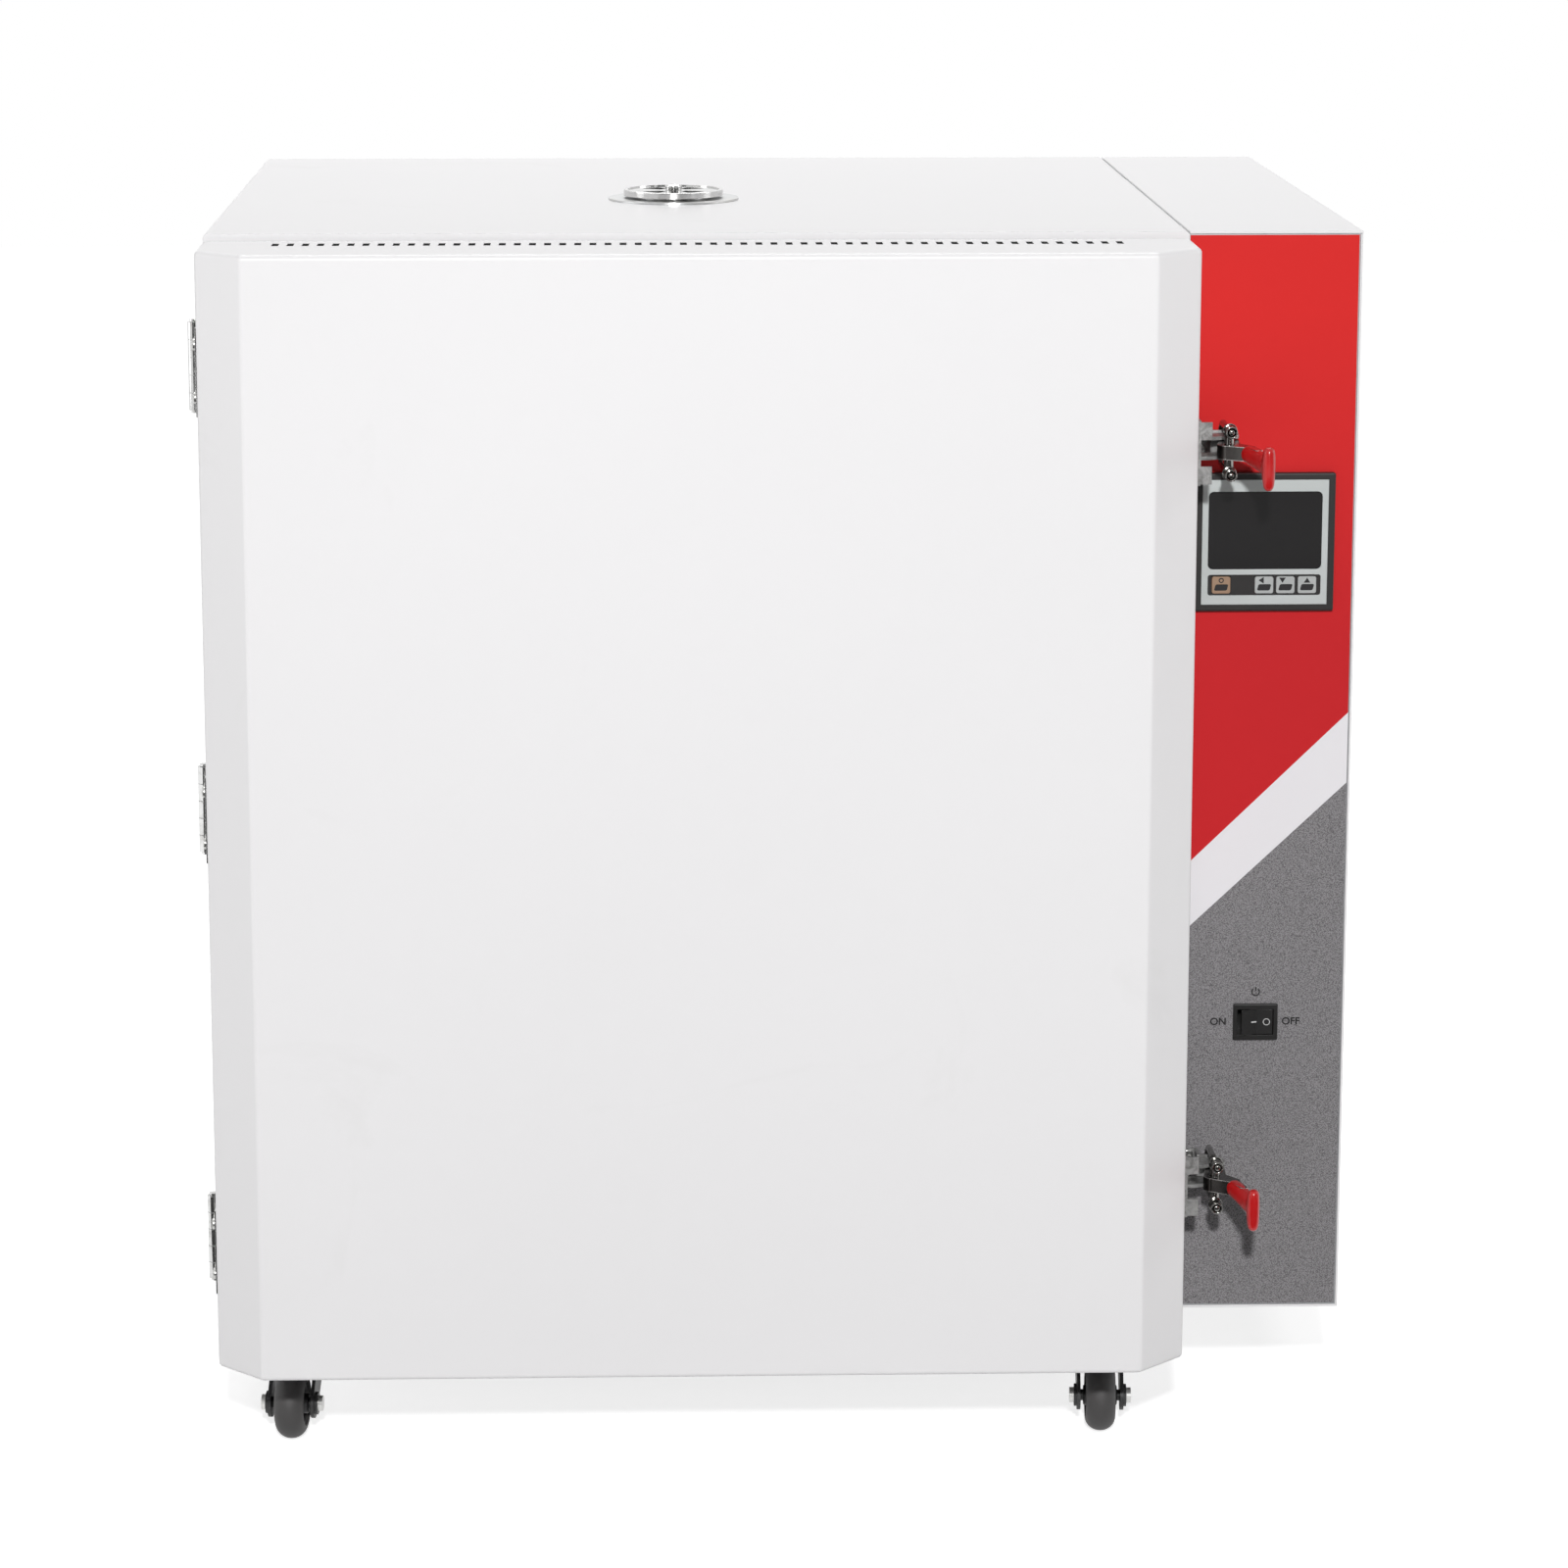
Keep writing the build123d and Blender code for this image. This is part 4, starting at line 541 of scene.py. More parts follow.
def standUp(shape, verts):
    # Turns a flat shape from the floor plane to the front plane
    bmesh.ops.rotate(shape, cent=(0, 0, 0), matrix=Matrix.Rotation(math.radians(90), 3, "X"), verts=verts)


def addOblong(shape, wide, tall):
    corners = bmesh.ops.create_grid(shape, x_segments=1, y_segments=1, size=0.5)["verts"]
    bmesh.ops.scale(shape, vec=(wide, tall, 1), verts=corners)
    return corners


def addRing(shape, radius, stroke, steps, gap=0.0):
    # Flat ring in the front plane, with a gap of so many degrees at its top
    start = math.radians(90 + gap / 2)
    rim = [shape.verts.new((reach * math.cos(start), 0, reach * math.sin(start)))
           for reach in (radius - stroke / 2, radius + stroke / 2)]
    edge = shape.edges.new(rim)
    bmesh.ops.spin(shape, geom=[*rim, edge], cent=(0, 0, 0), axis=(0, -1, 0), angle=math.radians(360 - gap),
                   steps=steps, use_merge=gap == 0)


def flatText(words, height):
    # Lettering as a mesh in the XZ plane, centred on the origin and facing the front
    curve = bpy.data.curves.new("lettering", "FONT")
    curve.body = words
    curve.size = height / printLook["capitalShare"]
    curve.align_x = "CENTER"
    curve.align_y = "CENTER"
    curve.offset = height * printLook["bolder"]
    holder = bpy.data.objects.new("lettering", curve)
    bpy.context.scene.collection.objects.link(holder)
    bpy.context.view_layer.update()
    mesh = bpy.data.meshes.new_from_object(holder)
    bpy.data.objects.remove(holder)
    mesh.transform(Matrix.Rotation(math.radians(90), 4, "X"))
    return mesh


printLook = {
    "frontY": -0.25606, "rockerX": 0.33455, "rockerZ": 0.3, "textHeight": 0.0052,
    "onAcross": -0.026, "offAcross": 0.025, "symbolUp": 0.0214, "symbolRadius": 0.0026,
    "symbolStroke": 0.0009, "symbolGap": 70, "barLength": 1.15, "barUp": 0.85,  # bar as shares of the radius
    "bolder": 0.035, "capitalShare": 0.72, "ink": srgb(26, 24, 26), "paleInk": srgb(214, 214, 214),
    "inkShade": 0.8, "roughness": 0.45, "grain": 2200.0, "drift": 90.0, "depth": 0.00001,
}


def makeInk(name, colour, look):
    material, tree, sockets, place = startMaterial(name, look["roughness"])
    grain = placeEffect(tree, "powderGrain", Place=place, Grain=look["grain"], Drift=look["drift"])
    darker = tuple(look["inkShade"] * part for part in colour[:3]) + (1.0,)
    tree.links.new(mixColours(tree, grain["Tone"], darker, colour), sockets["Base Color"])
    addRelief(tree, sockets, grain["Height"], look["depth"])
    return material


finishes["darkInk"] = makeInk("darkInk", printLook["ink"], printLook)
finishes["paleInk"] = makeInk("paleInk", printLook["paleInk"], printLook)


def placeFlat(mesh, x, y, z):
    mesh.transform(Matrix.Translation((x, y, z)))
    return mesh


def powerSymbol(look):
    # Ring with a gap at its top, and a bar through the gap
    shape = bmesh.new()
    radius, stroke = look["symbolRadius"], look["symbolStroke"]
    addRing(shape, radius, stroke, 40, look["symbolGap"])
    bar = addOblong(shape, stroke, look["barLength"] * radius)
    standUp(shape, bar)
    bmesh.ops.translate(shape, vec=(0, 0, look["barUp"] * radius), verts=bar)
    return finishMesh(shape, "powerSymbol")


# Key marks: a sign in the upper half of each key and a slanting dark bar below it

markLook = {
    "faceY": -0.26095, "rowZ": 0.6113, "signUp": 0.0033, "signHeight": 0.0036, "barDown": 0.0016,
    "barSize": (0.0088, 0.0044), "barSlant": 0.0011, "barCorner": 0.0011, "arrowWider": 1.1,
    "ringRadius": 0.39, "ringStroke": 0.22,  # shares of the sign's height
    "columnX": 0.33385, "shift": {"set_key": 0.0, "left_key": -0.0021, "down_key": -0.0021, "up_key": 0.0},
    "places": {"set_key": -0.0296, "left_key": 0.0, "down_key": 0.0147, "up_key": 0.0296},
    "turns": {"left_key": 90, "down_key": 180, "up_key": 0},
}


def slantedBar(look):
    # Rounded bar that leans to the right
    shape = bmesh.new()
    for corner in addOblong(shape, *look["barSize"]):
        corner.co.x += look["barSlant"] * (1 if corner.co.y > 0 else -1) / 2
    bmesh.ops.bevel(shape, geom=shape.verts[:], offset=look["barCorner"], segments=4, profile=0.5,
                    affect="VERTICES", material=-1)
    standUp(shape, shape.verts[:])
    return finishMesh(shape, "keyBar")


def arrowSign(look, turn):
    # Triangle that points up at a turn of 0, a little wider than tall, its box centred
    def turnFlat(degrees):
        bmesh.ops.rotate(shape, cent=(0, 0, 0), matrix=Matrix.Rotation(math.radians(degrees), 3, "Z"),
                         verts=shape.verts[:])

    shape = bmesh.new()
    height = look["signHeight"]
    bmesh.ops.create_circle(shape, cap_ends=True, segments=3, radius=height / 1.5)
    tip = max(shape.verts, key=lambda vert: vert.co.length_squared * (abs(vert.co.x) < 1e-6))
    turnFlat(0 if tip.co.y > 0 else 180)
    bmesh.ops.translate(shape, vec=(0, -height / 6, 0), verts=shape.verts[:])
    bmesh.ops.scale(shape, vec=(look["arrowWider"], 1, 1), verts=shape.verts[:])
    turnFlat(turn)
    standUp(shape, shape.verts[:])
    return finishMesh(shape, "keyArrow")


def ringSign(look):
    # Plain ring on the key that has no arrow
    shape = bmesh.new()
    height = look["signHeight"]
    addRing(shape, look["ringRadius"] * height, look["ringStroke"] * height, 32)
    return finishMesh(shape, "keyRing")


for key, across in markLook["places"].items():
    keyX = markLook["columnX"] + across
    signX = keyX + markLook["shift"][key]
    signZ = markLook["rowZ"] + markLook["signUp"]
    if key in markLook["turns"]:
        sign = arrowSign(markLook, markLook["turns"][key])
    else:
        sign = ringSign(markLook)
    addPiece(f"{key}_sign", placeFlat(sign, signX, markLook["faceY"], signZ), f"{key}_cap", "darkInk")
    barZ = markLook["rowZ"] - markLook["barDown"]
    addPiece(f"{key}_bar", placeFlat(slantedBar(markLook), keyX, markLook["faceY"], barZ), f"{key}_cap",
             "darkInk")

rockerMarkLook = {
    "pivot": (0.33455, -0.2515), "lean": 8.0, "faceUp": 0.0052, "faceRise": 0.0023 / 0.0113, "lift": 0.00012,
    "dashAcross": -0.0018, "dashSize": (0.004, 0.0009), "ringAcross": 0.007, "ringRadius": 0.0022,
    "ringStroke": 0.0005,
}


def placeOnRocker(mesh, across, look):
    # Lays a flat mark on the slope of the rocker, which leans about its pivot at rest
    slope = math.atan(look["faceRise"]) * (1 if across > 0 else -1)
    depth = -look["faceUp"] - look["faceRise"] * abs(across) - look["lift"]
    mesh.transform(Matrix.Rotation(-slope, 4, "Z"))
    mesh.transform(Matrix.Translation((across, depth, printLook["rockerZ"])))
    mesh.transform(Matrix.Rotation(math.radians(look["lean"]), 4, "Z"))
    mesh.transform(Matrix.Translation((*look["pivot"], 0)))
    return mesh


def rockerDash(look):
    shape = bmesh.new()
    standUp(shape, addOblong(shape, *look["dashSize"]))
    return finishMesh(shape, "rockerDash")


def rockerRing(look):
    shape = bmesh.new()
    addRing(shape, look["ringRadius"], look["ringStroke"], 36)
    return finishMesh(shape, "rockerRing")


for mark, makeMark in (("dash", rockerDash), ("ring", rockerRing)):
    mesh = placeOnRocker(makeMark(rockerMarkLook), rockerMarkLook[f"{mark}Across"], rockerMarkLook)
    addPiece(f"rocker_{mark}", mesh, "rocker", "paleInk")

sideX, sideZ = printLook["rockerX"], printLook["rockerZ"]
columnPrints = {
    "print_on": (flatText("ON", printLook["textHeight"]), printLook["onAcross"], 0.0),
    "print_off": (flatText("OFF", printLook["textHeight"]), printLook["offAcross"], 0.0),
    "print_power": (powerSymbol(printLook), 0.0, printLook["symbolUp"]),
}
for name, (mesh, across, up) in columnPrints.items():
    placeFlat(mesh, sideX + across, printLook["frontY"], sideZ + up)
    addPiece(name, mesh, "cabinet", "darkInk")
print("column prints placed")


# Toggle clamps. Sizes are in millimetres from the column seam (x), the cabinet front (y) and the clamp's
# own height (z)

clampPlaces = {"upper": 0.711, "lower": 0.199}
clampOrigin = (0.27925, -0.256)


def toClamp(mesh, height):
    mesh.transform(Matrix.Scale(millimetre, 4))
    mesh.transform(Matrix.Translation((*clampOrigin, height)))
    return mesh


def pullRing(shape, ring, move):
    # Extrudes a ring of edges along a straight line and gives the new ring
    grown = bmesh.ops.extrude_edge_only(shape, edges=ring)["geom"]
    verts = {item for item in grown if isinstance(item, bmesh.types.BMVert)}
    bmesh.ops.translate(shape, vec=move, verts=list(verts))
    return [item for item in grown if isinstance(item, bmesh.types.BMEdge) and set(item.verts) <= verts]


def turnRing(shape, ring, centre, axis, angle, steps):
    verts = list({vert for edge in ring for vert in edge.verts})
    last = bmesh.ops.spin(shape, geom=verts + ring, cent=centre, axis=axis, angle=angle,
                          steps=steps)["geom_last"]
    return [item for item in last if isinstance(item, bmesh.types.BMEdge)]


def revolve(shape, profile, steps, place, closed=True):
    # Turns pairs of radius and height about the local Z axis, then moves the result to its place
    before = set(shape.verts)
    line = [shape.verts.new((radius, 0, height)) for radius, height in profile]
    edges = [shape.edges.new(pair) for pair in zip(line, line[1:])]
    if closed:
        edges.append(shape.edges.new((line[-1], line[0])))
    bmesh.ops.spin(shape, geom=line + edges, cent=(0, 0, 0), axis=(0, 0, 1), angle=math.tau, steps=steps,
                   use_merge=True)
    made = [vert for vert in shape.verts if vert not in before]
    bmesh.ops.transform(shape, matrix=place, verts=made)
    return made


gripLook = {
    # Middle and half sizes of the bar across the end, then stations back to the lever:
    # across, forward, half thickness, half height, drop
    "bar": ((42.8, -102.2, -3.4), (4.6, 5.4, 7.4)), "lobeUp": 6.6, "lobeDown": 9.4, "lobeTaper": 0.84,
    "neck": [(42.2, -94.5, 5.0, 7.6, -3.2), (40.4, -86.0, 5.6, 7.4, -2.4), (37.2, -75.0, 6.0, 6.9, -0.8),
             (34.4, -66.4, 6.1, 6.5, 0.0), (34.0, -65.0, 5.8, 6.1, 0.0)],
    "rounding": 3,
}


def makeGrip(name, height, look):
    # Dipped grip: a bar across the end of a tapering sleeve, rounded by subdivision
    shape = bmesh.new()
    middle, half = look["bar"]
    bmesh.ops.create_cube(shape, size=2.0)
    bmesh.ops.scale(shape, vec=half, verts=shape.verts[:])
    bmesh.ops.translate(shape, vec=middle, verts=shape.verts[:])
    bmesh.ops.recalc_face_normals(shape, faces=shape.faces[:])

    def faceToward(direction):
        return max(shape.faces, key=lambda face: face.normal.dot(direction)
                   + 0.001 * face.calc_center_median().dot(direction))

    def growFace(face, move, scale):
        made = bmesh.ops.extrude_face_region(shape, geom=[face])["geom"]
        bmesh.ops.delete(shape, geom=[face], context="FACES_ONLY")
        verts = [item for item in made if isinstance(item, bmesh.types.BMVert)]
        bmesh.ops.translate(shape, vec=move, verts=verts)
        centre = sum((vert.co for vert in verts), Vector()) / len(verts)
        toCentre = Matrix.Translation(-centre)
        bmesh.ops.scale(shape, vec=scale, space=toCentre, verts=verts)
        return [item for item in made if isinstance(item, bmesh.types.BMFace)][0]

    taper = look["lobeTaper"]
    for direction, reach in (((0, 0, 1), look["lobeUp"]), ((0, 0, -1), look["lobeDown"])):
        face = faceToward(Vector(direction))
        growFace(face, Vector(direction) * reach, (taper, taper, 1))
    face = max(shape.faces, key=lambda item: item.normal.y - abs(item.calc_center_median().z - middle[2]))
    place = Vector(middle) + Vector((0, half[1], 0))
    size = (half[0], half[2])
    for across, forward, thick, tall, drop in look["neck"]:
        target = Vector((across, forward, drop))
        face = growFace(face, target - place, (thick / size[0], 1, tall / size[1]))
        place, size = target, (thick, tall)
    mesh = toClamp(finishMesh(shape, name, smooth=True), height)
    piece = addPiece(name, mesh, name.replace("_sleeve", ""), "gripRed")
    rounding = piece.modifiers.new("rounding", "SUBSURF")
    rounding.levels = rounding.render_levels = look["rounding"]
    return piece


hookLook = {
    "across": 22.5, "front": -67.0, "back": -12.0, "halfHeight": 14.5, "rod": 2.3, "bend": 6.0,
    "pitch": 0.8, "threadEnd": -40.0, "threadDepth": 0.32, "barrel": 3.3, "barrelHalf": 17.4,
    "barrelForward": -52.0, "nutRadius": 4.1, "nutBore": 2.9, "nutLength": 10.5, "nutWell": 5.0,
    "washer": 4.9, "washerThick": 0.9, "washerEdge": 0.2, "sides": 24, "steps": 32, "bendSteps": 8,
    "point": (0.8, 0.7), "barrelRound": (0.9, 0.25), "nutLip": 0.3, "nutRound": (0.5, 0.15),
    "nutInside": 0.3, "groove": (2.4, 2.9, 3.3, 3.8), "grooveDepth": 0.4, "nutSteps": 36,
}


def addSleeveNut(shape, look, place):
    # Long round nut: a bright rim round a well, in which the end of the rod shows
    outer, bore, length, well = look["nutRadius"], look["nutBore"], look["nutLength"], look["nutWell"]
    inner, lip, waist = look["rod"] - look["nutInside"], look["nutLip"], outer - look["grooveDepth"]
    corner, half = look["nutRound"]
    grooveTop, floorTop, floorEnd, grooveEnd = look["groove"]
    profile = [(inner, well), (bore, well), (bore, lip), (bore + lip, 0), (outer - corner, 0),
               (outer - half, half), (outer, corner), (outer, grooveTop), (waist, floorTop),
               (waist, floorEnd), (outer, grooveEnd), (outer, length - look["grooveDepth"]),
               (waist, length), (inner, length)]
    revolve(shape, profile, look["nutSteps"], place)


def addBentRod(shape, look, facing):
    # Back part of the hook: two legs and the bend that joins them
    across, half, bend = look["across"], look["halfHeight"], look["bend"]
    circle = bmesh.ops.create_circle(shape, cap_ends=False, segments=look["sides"], radius=look["rod"])
    start = circle["verts"]
    place = Matrix.Translation((across, look["threadEnd"], half)) @ facing
    bmesh.ops.transform(shape, matrix=place, verts=start)
    ring = list({edge for vert in start for edge in vert.link_edges})
    turnY, quarter, steps = look["back"] - bend, math.radians(90), look["bendSteps"]
    legLength = turnY - look["threadEnd"]
    ring = pullRing(shape, ring, (0, legLength, 0))
    ring = turnRing(shape, ring, (across, turnY, half - bend), (-1, 0, 0), quarter, steps)
    ring = pullRing(shape, ring, (0, 0, -2 * (half - bend)))
    ring = turnRing(shape, ring, (across, turnY, bend - half), (-1, 0, 0), quarter, steps)
    pullRing(shape, ring, (0, -legLength, 0))


def addThreadedLeg(shape, look, place):
    rod, length, (inward, back) = look["rod"], look["threadEnd"] - look["front"], look["point"]
    profile = [(0, 0), (rod - inward, 0), (rod, back)]
    level = back
    while level < length - look["pitch"]:
        profile += [(rod - look["threadDepth"], level + look["pitch"] / 2), (rod, level + look["pitch"])]
        level += look["pitch"]
    profile += [(rod, length), (0, length)]
    revolve(shape, profile, look["sides"], place, closed=False)


def addWasher(shape, look, place):
    rod, outer, thick, edge = look["rod"], look["washer"], look["washerThick"], look["washerEdge"]
    profile = [(rod, 0), (outer - edge, 0), (outer, edge), (outer, thick - edge), (outer - edge, thick),
               (rod, thick)]
    revolve(shape, profile, look["steps"], place)


def addBarrel(shape, look):
    # Cross barrel that both legs pass through
    radius, end, (corner, half) = look["barrel"], look["barrelHalf"], look["barrelRound"]
    profile = [(0, -end), (radius - corner, -end), (radius - half, half - end), (radius, corner - end),
               (radius, end - corner), (radius - half, end - half), (radius - corner, end), (0, end)]
    place = Matrix.Translation((look["across"], look["barrelForward"], 0))
    revolve(shape, profile, look["steps"], place, closed=False)


def makeHook(name, height, look):
    # Bent rod with threaded legs, its barrel, and a sleeve nut and washer on each leg
    shape = bmesh.new()
    facing = Matrix.Rotation(math.radians(-90), 4, "X")  # local Z runs to the rear
    addBentRod(shape, look, facing)
    seat = look["barrelForward"] - look["barrel"] - look["washerThick"]
    for side in (-1, 1):
        def alongLeg(forward):
            return Matrix.Translation((look["across"], forward, side * look["halfHeight"])) @ facing
        addThreadedLeg(shape, look, alongLeg(look["front"]))
        addSleeveNut(shape, look, alongLeg(seat - look["nutLength"]))
        addWasher(shape, look, alongLeg(seat))
    addBarrel(shape, look)
    mesh = toClamp(finishMesh(shape, name, smooth=True), height)
    return addPiece(name, mesh, name.replace("_rod", ""), "clampSteel")


for side, height in clampPlaces.items():
    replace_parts(makeGrip(f"{side}_clamp_sleeve", height, gripLook), f"{side}_clamp_grip")
    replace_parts(makeHook(f"{side}_hook_rod", height, hookLook), f"{side}_clamp_hook")
print("clamp grips and hooks made")


# Castor wheels: a rubber tyre on a nylon hub

castorLook = {
    "radius": 25.0, "tyreHalf": 10.7, "tyreInner": 15.5, "hubHalf": 8.6, "webHalf": 5.2, "bore": 4.1,
    "bossRadius": 7.2, "bossHalf": 11.9, "bossEdge": 0.6, "trail": 28.0, "steps": 64,
    "shoulderBack": 9.5, "crownStep": 10, "tyreEdge": (0.4, 1.4), "rimOverlap": 0.1,
    "bossFoot": [(0.5, 0.3), (1.2, 0.0)],  # past the boss, above the web
    "dish": [(12.4, 5.2), (13.2, 5.6), (13.6, 8.3), (14.0, 8.6)],  # radius, half width
    "swivels": {"front_left": (-0.34075, -0.224, -6.0), "front_right": (0.23125, -0.224, -3.0),
                "rear_left": (-0.34075, 0.284, 80.0), "rear_right": (0.23125, 0.284, -65.0)},
}


def wheelPlace(look, place):
    x, y, turn = look["swivels"][place]
    heading = Matrix.Translation((x, y, 0)) @ Matrix.Rotation(math.radians(turn), 4, "Z")
    return heading @ Matrix.Translation((0, -millimetre * look["trail"], millimetre * look["radius"]))


def makeWheelPart(name, place, look, profile, finish):
    shape = bmesh.new()
    revolve(shape, profile, look["steps"], Matrix.Rotation(math.radians(90), 4, "Y"))
    mesh = finishMesh(shape, name, smooth=True)
    mesh.transform(Matrix.Scale(millimetre, 4))
    mesh.transform(wheelPlace(look, place))
    return addPiece(name, mesh, f"{place}_wheel", finish)


def tyreProfile(look):
    half, inner, outer = look["tyreHalf"], look["tyreInner"], look["radius"]
    shoulder, depth = outer - look["shoulderBack"], look["shoulderBack"]
    turns = [math.radians(angle) for angle in range(look["crownStep"], 180, look["crownStep"])]
    crown = [(shoulder + depth * math.sin(turn), half * math.cos(turn)) for turn in turns]
    corner, wall = look["tyreEdge"]
    return [(inner, half - wall), (inner + corner, half - corner), *crown, (inner + corner, corner - half),
            (inner, wall - half)]


def hubProfile(look):
    boss, edge = look["bossRadius"], look["bossEdge"]
    end = look["bossHalf"]
    side = [(look["bore"], end), (boss - edge, end), (boss, end - edge)]
    side += [(boss + out, look["webHalf"] + rise) for out, rise in look["bossFoot"]]
    side += [*look["dish"], (look["tyreInner"] + look["rimOverlap"], look["hubHalf"])]
    return side + [(radius, -level) for radius, level in reversed(side)]


def makeForkFinish(name, look, paint):
    # Black paint on the fork, with bare zinc on the axle heads outside its plates
    material, tree, sockets, place = startMaterial(
        name, paint["roughness"], Specular_IOR_Level=paint["sheen"])
    grain = placeEffect(tree, "powderGrain", Place=place, Grain=paint["grain"], Drift=paint["drift"])
    marks = placeEffect(tree, "handlingMarks", Place=place, Size=paint["markSize"], Cover=paint["markCover"])
    heading = math.radians(castorLook["swivels"][name][2])
    axle = wheelPlace(castorLook, name).to_translation()
    along = (math.cos(heading), math.sin(heading), 0.0)
    ends = placeEffect(tree, "beyondPlates", Place=place, Centre=axle, Along=along,
                       Half=look["plateHalf"])["Outside"]
    tone = mixColours(tree, grain["Tone"], paint["shade"], paint["colour"])
    tone = mixColours(tree, marks["Marks"], tone, paint["smear"])
    tree.links.new(mixColours(tree, ends, tone, look["zinc"]), sockets["Base Color"])
    tree.links.new(ends, sockets["Metallic"])
    rough = addMath(tree, "MULTIPLY_ADD", marks["Marks"], paint["markRough"], paint["roughness"])
    tree.links.new(addMath(tree, "MULTIPLY_ADD", ends, look["zincSmoother"], rough), sockets["Roughness"])
    addRelief(tree, sockets, grain["Height"], paint["depth"], paint["softEdge"])
    return material


forkLook = {"plateHalf": 0.01855, "zinc": srgb(205, 205, 203), "zincSmoother": -0.1}

for place in castorLook["swivels"]:
    fork = cadNodes[f"castor_fork_{place}"]
    fork.data.materials.clear()
    fork.data.materials.append(makeForkFinish(place, forkLook, powderLooks["forkPaint"]))
    tyre = makeWheelPart(f"{place}_tyre", place, castorLook, tyreProfile(castorLook), "wheelRubber")
    makeWheelPart(f"{place}_hub", place, castorLook, hubProfile(castorLook), "glandNylon")
    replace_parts(tyre, f"castor_wheel_{place}")
print("castor wheels made")


# Floor, backdrop and light

studio = {
    "floorSize": 16.0, "floorColour": srgb(208, 208, 208), "floorLift": 0.74, "floorFade": (0.9, 2.2),
    "floorRoughness": 0.9, "worldLevel": 0.06,
    # Lamps: place, aim, width and height or the width of a disk, power
    "lamps": {
        "keyLamp": ((-0.105, -4.5, 2.28), (-0.05, -0.3, 0.45), (0.2,), 160.0),
        "roofLamp": ((0.0, 1.1, 3.0), (0.0, 0.05, 0.8), (2.6, 1.4), 46.0),
        "rightLamp": ((2.6, -0.25, 1.2), (0.0, -0.3, 0.5), (0.9, 1.6), 8.4),
        "leftLamp": ((-2.6, -0.25, 1.2), (0.0, -0.3, 0.5), (0.9, 1.6), 10.2),
    },
    # Dark cards seen only in reflections: place of the middle, width and height
    "cards": [((-1.45, -4.9, 1.3), 3.2, 3.0), ((2.15, -4.8, 1.3), 3.2, 3.0), ((0.0, -5.0, 3.35), 5.0, 0.6),
              ((3.4, -2.2, 0.9), 1.2, 1.8)],
    "floorCard": ((0.4, -2.0, 0.02), 3.4, 3.0),
    "cardColour": srgb(22, 22, 23), "cardAim": (0, 0, 0.5),
}


def addFloor(look):
    bpy.ops.mesh.primitive_plane_add(size=look["floorSize"], location=(0, 0, 0))
    floor = bpy.context.object
    floor.name = "studio_floor"
    material = bpy.data.materials.new("paleFloor")
    material.use_nodes = True
    tree = material.node_tree
    shader = tree.nodes["Principled BSDF"]
    shader.inputs["Base Color"].default_value = look["floorColour"]
    shader.inputs["Roughness"].default_value = look["floorRoughness"]
    shader.inputs["Specular IOR Level"].default_value = 0.0
    path = tree.nodes.new("ShaderNodeLightPath").outputs
    seen = addMath(tree, "ADD", path["Is Camera Ray"], path["Is Glossy Ray"], clamp=True)
    place = tree.nodes.new("ShaderNodeTexCoord").outputs["Object"]
    reach = addNode(tree, "VectorMath", {0: place}, operation="LENGTH").outputs["Value"]
    near, far = look["floorFade"]
    fade = spread(tree, reach, near, far, look["floorLift"], 1.0)
    lift = addMath(tree, "MULTIPLY", seen, fade)
    glow = addNode(tree, "Emission", {"Strength": lift})
    both = addNode(tree, "AddShader", {0: shader.outputs[0], 1: glow.outputs[0]})
    tree.links.new(both.outputs[0], tree.nodes["Material Output"].inputs["Surface"])
    floor.data.materials.append(material)


def addWorld(look):
    world = bpy.data.worlds.new("paleStudio")
    bpy.context.scene.world = world
    world.use_nodes = True
    tree = world.node_tree
    path = tree.nodes.new("ShaderNodeLightPath").outputs
    seen = addMath(tree, "ADD", path["Is Camera Ray"], path["Is Glossy Ray"])
    seen = addMath(tree, "ADD", seen, path["Is Transmission Ray"], clamp=True)
    level = spread(tree, seen, 0.0, 1.0, look["worldLevel"], 1.0)
    background = tree.nodes["Background"]
    background.inputs["Color"].default_value = (1, 1, 1, 1)
    tree.links.new(level, background.inputs["Strength"])


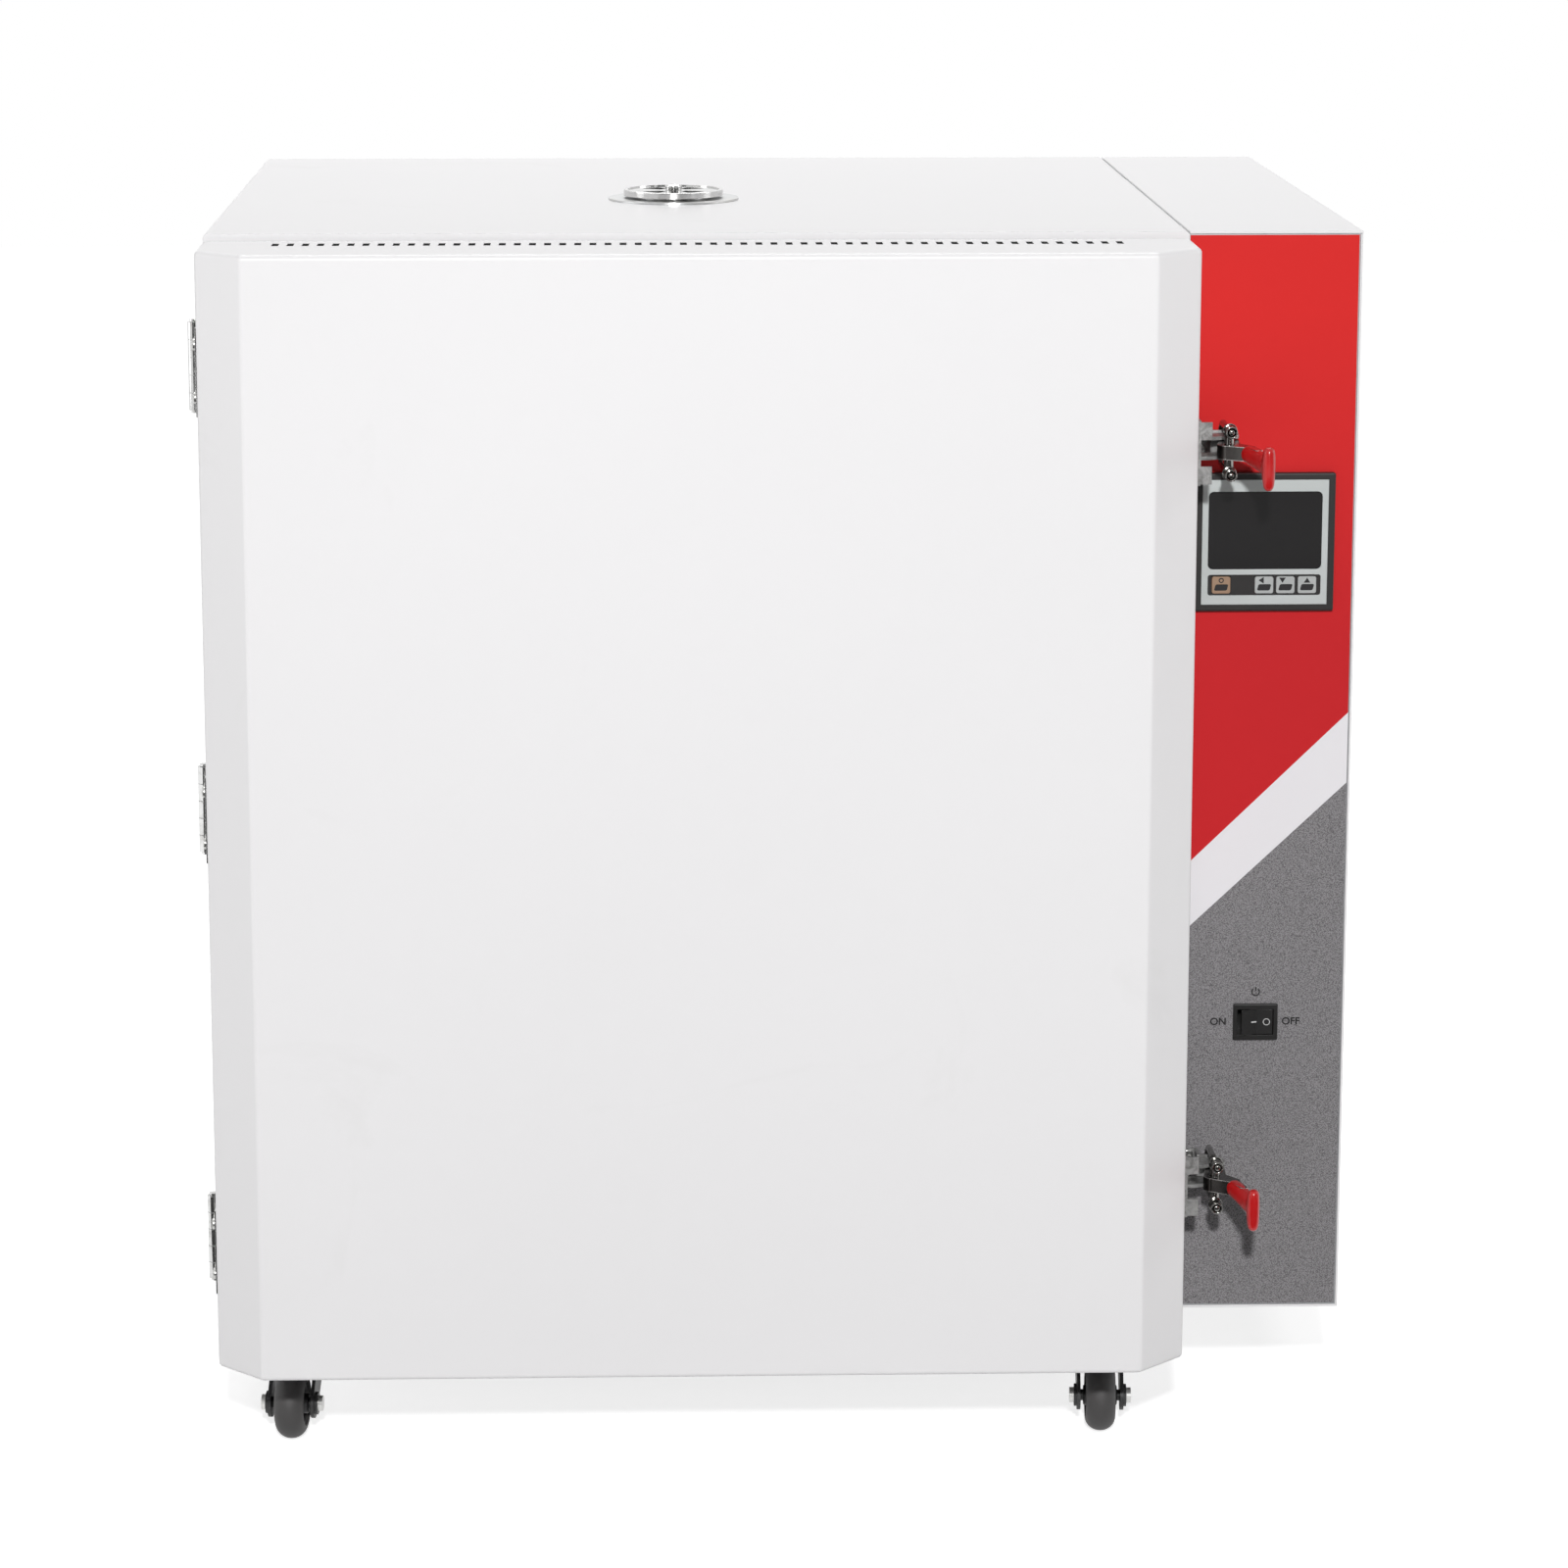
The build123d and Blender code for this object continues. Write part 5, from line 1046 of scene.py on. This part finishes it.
def addLamp(name, place, aim, size, power):
    lamp = bpy.data.lights.new(name, "AREA")
    lamp.energy = power
    if len(size) == 1:
        lamp.shape = "DISK"
        lamp.size = size[0]
    else:
        lamp.shape = "RECTANGLE"
        lamp.size, lamp.size_y = size
    holder = bpy.data.objects.new(name, lamp)
    bpy.context.scene.collection.objects.link(holder)
    holder.location = place
    holder.rotation_euler = (Vector(aim) - Vector(place)).to_track_quat("-Z", "Y").to_euler()
    holder.visible_camera = False


def addCard(number, place, wide, tall, look, level=False):
    # Black flag beside the camera or on the floor, for dark reflections in bright metal
    shape = bmesh.new()
    addOblong(shape, wide, tall)
    facing = (Vector(look["cardAim"]) - Vector(place)).to_track_quat("Z", "Y").to_matrix().to_4x4()
    if level:
        facing = Matrix.Identity(4)
    bmesh.ops.transform(shape, matrix=Matrix.Translation(place) @ facing, verts=shape.verts[:])
    card = bpy.data.objects.new(f"studio_card_{number}", finishMesh(shape, "studioCard"))
    bpy.context.scene.collection.objects.link(card)
    material = bpy.data.materials.get("cardBlack") or bpy.data.materials.new("cardBlack")
    material.use_nodes = True
    sockets = material.node_tree.nodes["Principled BSDF"].inputs
    sockets["Base Color"].default_value = look["cardColour"]
    sockets["Roughness"].default_value = 1.0
    card.data.materials.append(material)
    card.visible_camera = card.visible_diffuse = card.visible_shadow = card.visible_transmission = False


addFloor(studio)
addWorld(studio)
for number, (place, wide, tall) in enumerate(studio["cards"]):
    addCard(number, place, wide, tall, studio)
addCard("floor", *studio["floorCard"], studio, level=True)
for name, lamp in studio["lamps"].items():
    addLamp(name, *lamp)

cameraLook = {
    "place": (-0.108, -3.482, 1.1755), "tilt": 78.84, "turn": -1.62, "lens": 109.6, "sensor": 36.0,
    "shift": (0.0192, -0.06),
}


def addCamera(look):
    camera = bpy.data.cameras.new("photoCamera")
    camera.lens = look["lens"]
    camera.sensor_width = look["sensor"]
    camera.shift_x, camera.shift_y = look["shift"]
    holder = bpy.data.objects.new("photoCamera", camera)
    bpy.context.scene.collection.objects.link(holder)
    holder.location = look["place"]
    holder.rotation_euler = (math.radians(look["tilt"]), 0, math.radians(look["turn"]))
    bpy.context.scene.camera = holder


addCamera(cameraLook)
bpy.context.scene.view_settings.view_transform = "Standard"
print("studio ready")
